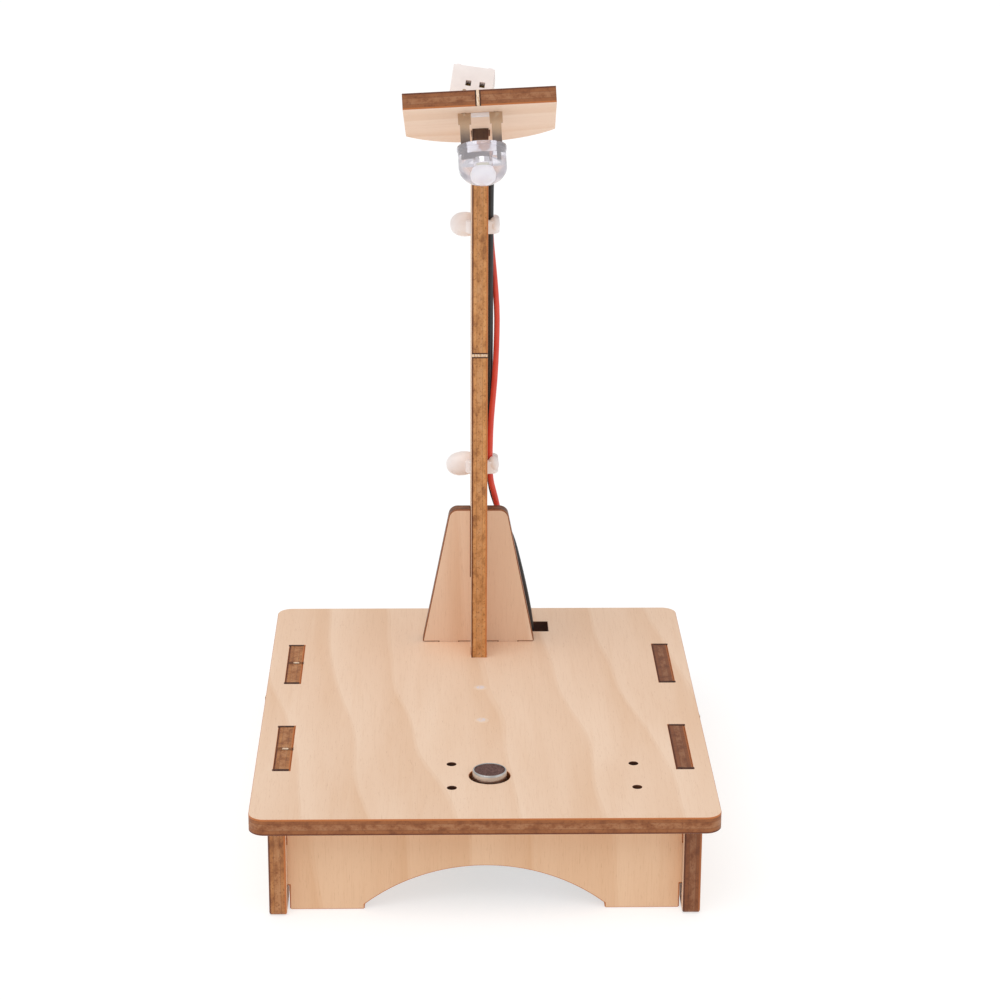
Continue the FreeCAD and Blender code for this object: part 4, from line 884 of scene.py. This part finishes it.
CHIP_X, CHIP_Y, CHIP_PITCH = 1.0, -34.6, 2.54
chip_mesh = bmesh.new()
chamfered_box(chip_mesh, (9.2 * MM, 6.2 * MM, 3.1 * MM), Vector((CHIP_X, CHIP_Y, 11.65)) * MM, 0.35 * MM, 2)
chip_case = add_mesh("chip_case", chip_mesh)
stand_in(chip_case, moulded, "amplifier_chip")
dot = turned("chip_pin_dot", [(0, -0.04), (0.45, -0.04), (0.5, 0), (0.5, 0.1), (0, 0.1)],
             Matrix.Translation(Vector((-2.6, -36.6, 10.1)) * MM), 24)
dot_finish = Finish("polished_dot", Roughness=0.25)
dot_cloud = dot_finish.noise(dot_finish.place(), 2000.0)
dot_finish.mottle(dot_cloud, tone(62, 62, 64), tone(80, 80, 82))
extra(dot, dot_finish)
leg_mesh = bmesh.new()
chamfered_box(leg_mesh, (1.1 * MM, 0.5 * MM, 1.2 * MM), (0, 0.1 * MM, -1.6 * MM), 0.1 * MM)
chamfered_box(leg_mesh, (0.5 * MM, 0.3 * MM, 1.5 * MM), (0, 0.15 * MM, -0.7 * MM), 0.06 * MM)
chip_leg = add_mesh("chip_leg", leg_mesh)
leg_spots = [((CHIP_X + (step - 1.5) * CHIP_PITCH, CHIP_Y + side * 3.2, BOARD_LOW), (0, 0, turn))
             for side, turn in ((-1, 0), (1, math.pi)) for step in range(4)]
legs = repeated("chip_legs", chip_leg, [(Vector(spot) * MM, turn) for spot, turn in leg_spots], tinned)
extra(legs, tinned)

RESISTOR_BANDS = {-30.2: ((150, 80, 30), (20, 20, 20), (240, 140, 40), (200, 160, 60)),
                  -28.1: ((230, 200, 40), (120, 60, 150), (200, 40, 30), (200, 160, 60)),
                  -26.0: ((200, 40, 30), (200, 40, 30), (20, 20, 20), (200, 160, 60))}
lacquer = Finish("resistor_lacquer", Roughness=0.3, Coat_Weight=0.4, Coat_Roughness=0.1)
lacquer_place = lacquer.place()
lacquer_x, lacquer_y = lacquer.parts(lacquer_place)[:2]
lacquer_cloud = lacquer.noise(lacquer_place, 900.0, 2.0)
coat = lacquer_cloud.ramp((0.3, tone(206, 178, 136)), (0.7, tone(222, 198, 158)))
for row, bands in RESISTOR_BANDS.items():
    this_row = lacquer_y.band(row * MM, 0.9 * MM, 0.05 * MM)
    for band_x, shade in zip((8.0, 8.75, 9.5, 10.4), bands):
        ring = lacquer_x.band(band_x * MM, 0.16 * MM, 0.02 * MM)
        coat = lacquer.mix(ring * this_row, coat, tone(*shade))
lacquer.give("Base Color", coat)
lacquer.relief(lacquer_cloud, 0.1, 0.03 * MM)
BODY_LONG, BODY_Z = 3.6, BOARD_LOW - 1.0
half_body = [(0.28, 0), (0.5, 0.03), (0.75, 0.15), (0.84, 0.4), (0.84, 0.7), (0.72, 1.0), (0.68, 1.3),
             (0.68, 1.8)]
other_half = [(radius, BODY_LONG - height) for radius, height in half_body[-2::-1]]
body_profile = [(0, 0), *half_body, *other_half, (0, BODY_LONG)]
resistor_unit = turned("resistor_unit", body_profile, Matrix.Rotation(quarter, 4, "Y"), 28, 50)
body_spots = board_spots([(7.4, row) for row in RESISTOR_BANDS], BODY_Z, 0.0)
resistor_set = repeated("resistor_bodies", resistor_unit, body_spots, lacquer)
stand_in(resistor_set, lacquer, "resistors")


def wire_form(name, routes, radius, finish):
    """Bent round wire along each route of places in millimetres, as one mesh."""
    data = bpy.data.curves.new(name, "CURVE")
    data.dimensions = "3D"
    data.bevel_depth = radius * MM
    data.bevel_resolution = 3
    data.resolution_u = 4
    data.use_fill_caps = True
    for route in routes:
        spline = data.splines.new("NURBS")
        spline.points.add(len(route) - 1)
        for bend, place in zip(spline.points, route):
            bend.co = (*(Vector(place) * MM), 1)
        spline.order_u = 3
        spline.use_endpoint_u = True
    curve = bpy.data.objects.new(name + "_line", data)
    bpy.context.collection.objects.link(curve)
    bpy.context.view_layer.update()
    ready = curve.evaluated_get(bpy.context.evaluated_depsgraph_get())
    piece = bpy.data.objects.new(name, bpy.data.meshes.new_from_object(ready))
    bpy.context.collection.objects.link(piece)
    bpy.data.objects.remove(curve)
    piece.data.polygons.foreach_set("use_smooth", [True] * len(piece.data.polygons))
    extra(piece, finish)


lead_routes = [[(hole, row, BODY_Z + 1.1), (hole, row, BODY_Z + 0.6), (hole, row, BODY_Z + 0.05),
                (bend, row, BODY_Z), (end, row, BODY_Z)]
               for hole, bend, end in ((4.6, 5.2, 7.5), (13.8, 13.2, 10.9)) for row in RESISTOR_BANDS]
wire_form("resistor_leads", lead_routes, 0.25, tinned)

CAPACITOR_X, CAPACITOR_Y, CAPACITOR_LOW = 16.8, -29.5, 6.8
sleeve = Finish("capacitor_sleeve", Roughness=0.25, Coat_Weight=0.3, Coat_Roughness=0.1)
sleeve_x, sleeve_y, sleeve_z = sleeve.parts(sleeve.place())
sleeve_cloud = sleeve.noise(sleeve.place(), 400.0, 2.0)
stripe = sleeve_x.step(18.4 * MM, 18.5 * MM) * sleeve_z.step(7.3 * MM, 7.4 * MM)
dash = sleeve_z.math("PINGPONG", 0.8 * MM).band(0.4 * MM, 0.16 * MM, 0.03 * MM)
dash = dash * sleeve_y.band(CAPACITOR_Y * MM, 0.3 * MM, 0.04 * MM)
film = sleeve.mix(sleeve_cloud, tone(22, 28, 62), tone(32, 40, 82))
film = sleeve.mix(stripe, film, tone(196, 204, 214))
sleeve.give("Base Color", sleeve.mix(stripe * dash, film, tone(28, 32, 60)))
sleeve.relief(sleeve_cloud, 0.08, 0.03 * MM)
cap_frame = Matrix.Translation(Vector((CAPACITOR_X, CAPACITOR_Y, CAPACITOR_LOW)) * MM)
cap_sleeve = turned("capacitor_shrink_sleeve",
                    [(2.1, 0.02), (2.3, 0), (2.45, 0.08), (2.5, 0.25), (2.5, 5.0), (2.42, 5.25), (2.38, 5.45),
                     (2.42, 5.65), (2.5, 5.85), (2.5, 6.5), (2.4, 6.7), (0, 6.8)], cap_frame, 48, 50)
stand_in(cap_sleeve, sleeve, "capacitor")
vent_mesh = bmesh.new()
for turn in (0, quarter):
    chamfered_box(vent_mesh, (2.6 * MM, 0.12 * MM, 0.06 * MM),
                  Vector((CAPACITOR_X, CAPACITOR_Y, CAPACITOR_LOW + 0.02)) * MM, 0.02 * MM, turn=turn)
vent = add_mesh("capacitor_vent", vent_mesh)
extra(vent, scar_and_shadow_finish)
cap_end = turned("capacitor_end", [(0, 0.03), (2.0, 0.03), (2.12, 0.06), (2.12, 0.2), (0, 0.2)],
                 cap_frame, 48)
extra(cap_end, aluminium)

for node, name, width in (("transistor", "transistor_case", 0.1), ("switch_housing", "switch_case", 0.12),
                          ("battery_holder", "battery_tray", 0.25)):
    soften(node, name, width, moulded)

soften("switch_knob", "switch_thumb_knob", 0.2, nylon, body="switch_knob")
soften("trimmer_rotor", "trimmer_screw", 0.1, nylon, 2, body="trimmer_rotor")
blue = Finish("trimmer_blue", Specular_IOR_Level=0.45)
blue_grain = blue.noise(blue.place(), 2400.0, 3.0)
blue.mottle(blue_grain, tone(38, 92, 168), tone(52, 110, 188))
blue.give("Roughness", blue_grain * 0.2 + 0.36)
blue.relief(blue_grain, 0.15, 0.03 * MM)
soften("trimmer_housing", "trimmer_case", 0.2, blue)


# ---------------------------------------------------------------- cells and contacts
# Two AA cells side by side between nickel-plated plates and coil springs.  Each
# has a plain shrink sleeve, slate for most of its length and pale at one end.

CELL_Z, CELL_RADIUS, CELL_BODY = 7.6, 7.1, 49.2
cell_film = Finish("cell_sleeve", Roughness=0.28, Coat_Weight=0.5, Coat_Roughness=0.08)
cell_run = cell_film.add("ShaderNodeAttribute", {"attribute_name": "run"}, {}, "Fac")
cell_cloud = cell_film.noise(cell_film.place(), 160.0, 2.0)
slate_film = cell_film.mix(cell_cloud, tone(52, 66, 78), tone(66, 82, 94))
pale_film = cell_film.mix(cell_cloud, tone(182, 188, 190), tone(204, 209, 210))
pale_end = cell_run.step(40.0, 40.1)
line = cell_run.band(38.8, 0.25, 0.05).most(cell_run.band(37.6, 0.12, 0.05))
cell_film.give("Base Color", cell_film.mix(pale_end.most(line), slate_film, pale_film))
cell_film.give("Roughness", cell_cloud * 0.12 + 0.22)
cell_film.relief(cell_cloud, 0.08, 0.05 * MM)
nickel = Finish("nickel_plate", Metallic=1.0)
nickel_scuff = nickel.noise(nickel.place(), 900.0, 3.0)
nickel.mottle(nickel_scuff, tone(190, 188, 182), tone(222, 220, 214))
nickel.give("Roughness", nickel_scuff * 0.22 + 0.16)
nickel.relief(nickel_scuff, 0.08, 0.02 * MM)

TRAY_LONG, TRAY_WALL, PLATE_THICK, CELL_TIP = 57.4, 1.5, 0.4, 1.1
SPRING_ROOM = TRAY_LONG - 2 * TRAY_WALL - 2 * PLATE_THICK - CELL_BODY - CELL_TIP
wrap_profile = [(0, 0.35), (5.9, 0.35), (6.1, 0.05), (6.6, 0.0), (6.95, 0.12), (CELL_RADIUS, 0.45),
                (CELL_RADIUS, 35.0), (CELL_RADIUS, 36.05), (CELL_RADIUS, 48.7), (6.95, 49.05),
                (6.6, CELL_BODY), (5.6, CELL_BODY), (0, CELL_BODY)]
for node, side in (("first_cell", 1), ("second_cell", -1)):
    start = -side * (TRAY_LONG / 2 - TRAY_WALL - PLATE_THICK - SPRING_ROOM)
    cell_frame = (Matrix.Translation(Vector((start, side * CELL_ROW, CELL_Z)) * MM)
                  @ Matrix.Rotation(side * quarter, 4, "Y"))
    cell = turned(node + "_sleeve", wrap_profile, cell_frame, 64, 50)
    run = cell.data.attributes.new("run", "FLOAT", "POINT")
    back_home = cell_frame.inverted()
    run.data.foreach_set("value", [(back_home @ vertex.co).z / MM for vertex in cell.data.vertices])
    stand_in(cell, cell_film, node)
    cap = turned(node + "_cap", [(0, 49.1), (4.6, 49.1), (4.6, 49.24), (2.9, 49.26), (2.75, 49.4),
                                 (2.7, 49.6), (2.7, 50.1), (2.55, 50.28), (0, 50.3)], cell_frame, 48)
    extra(cap, nickel)
    base = turned(node + "_base", [(0, 0.2), (5.6, 0.2), (5.85, 0.3), (5.85, 0.45), (0, 0.45)],
                  cell_frame, 48)
    extra(base, nickel)

soften("contact_plates", "contact_plate_set", 0.08, nickel, 2)
dress("contact_springs", nickel)
dress("holder_screws", zinc)
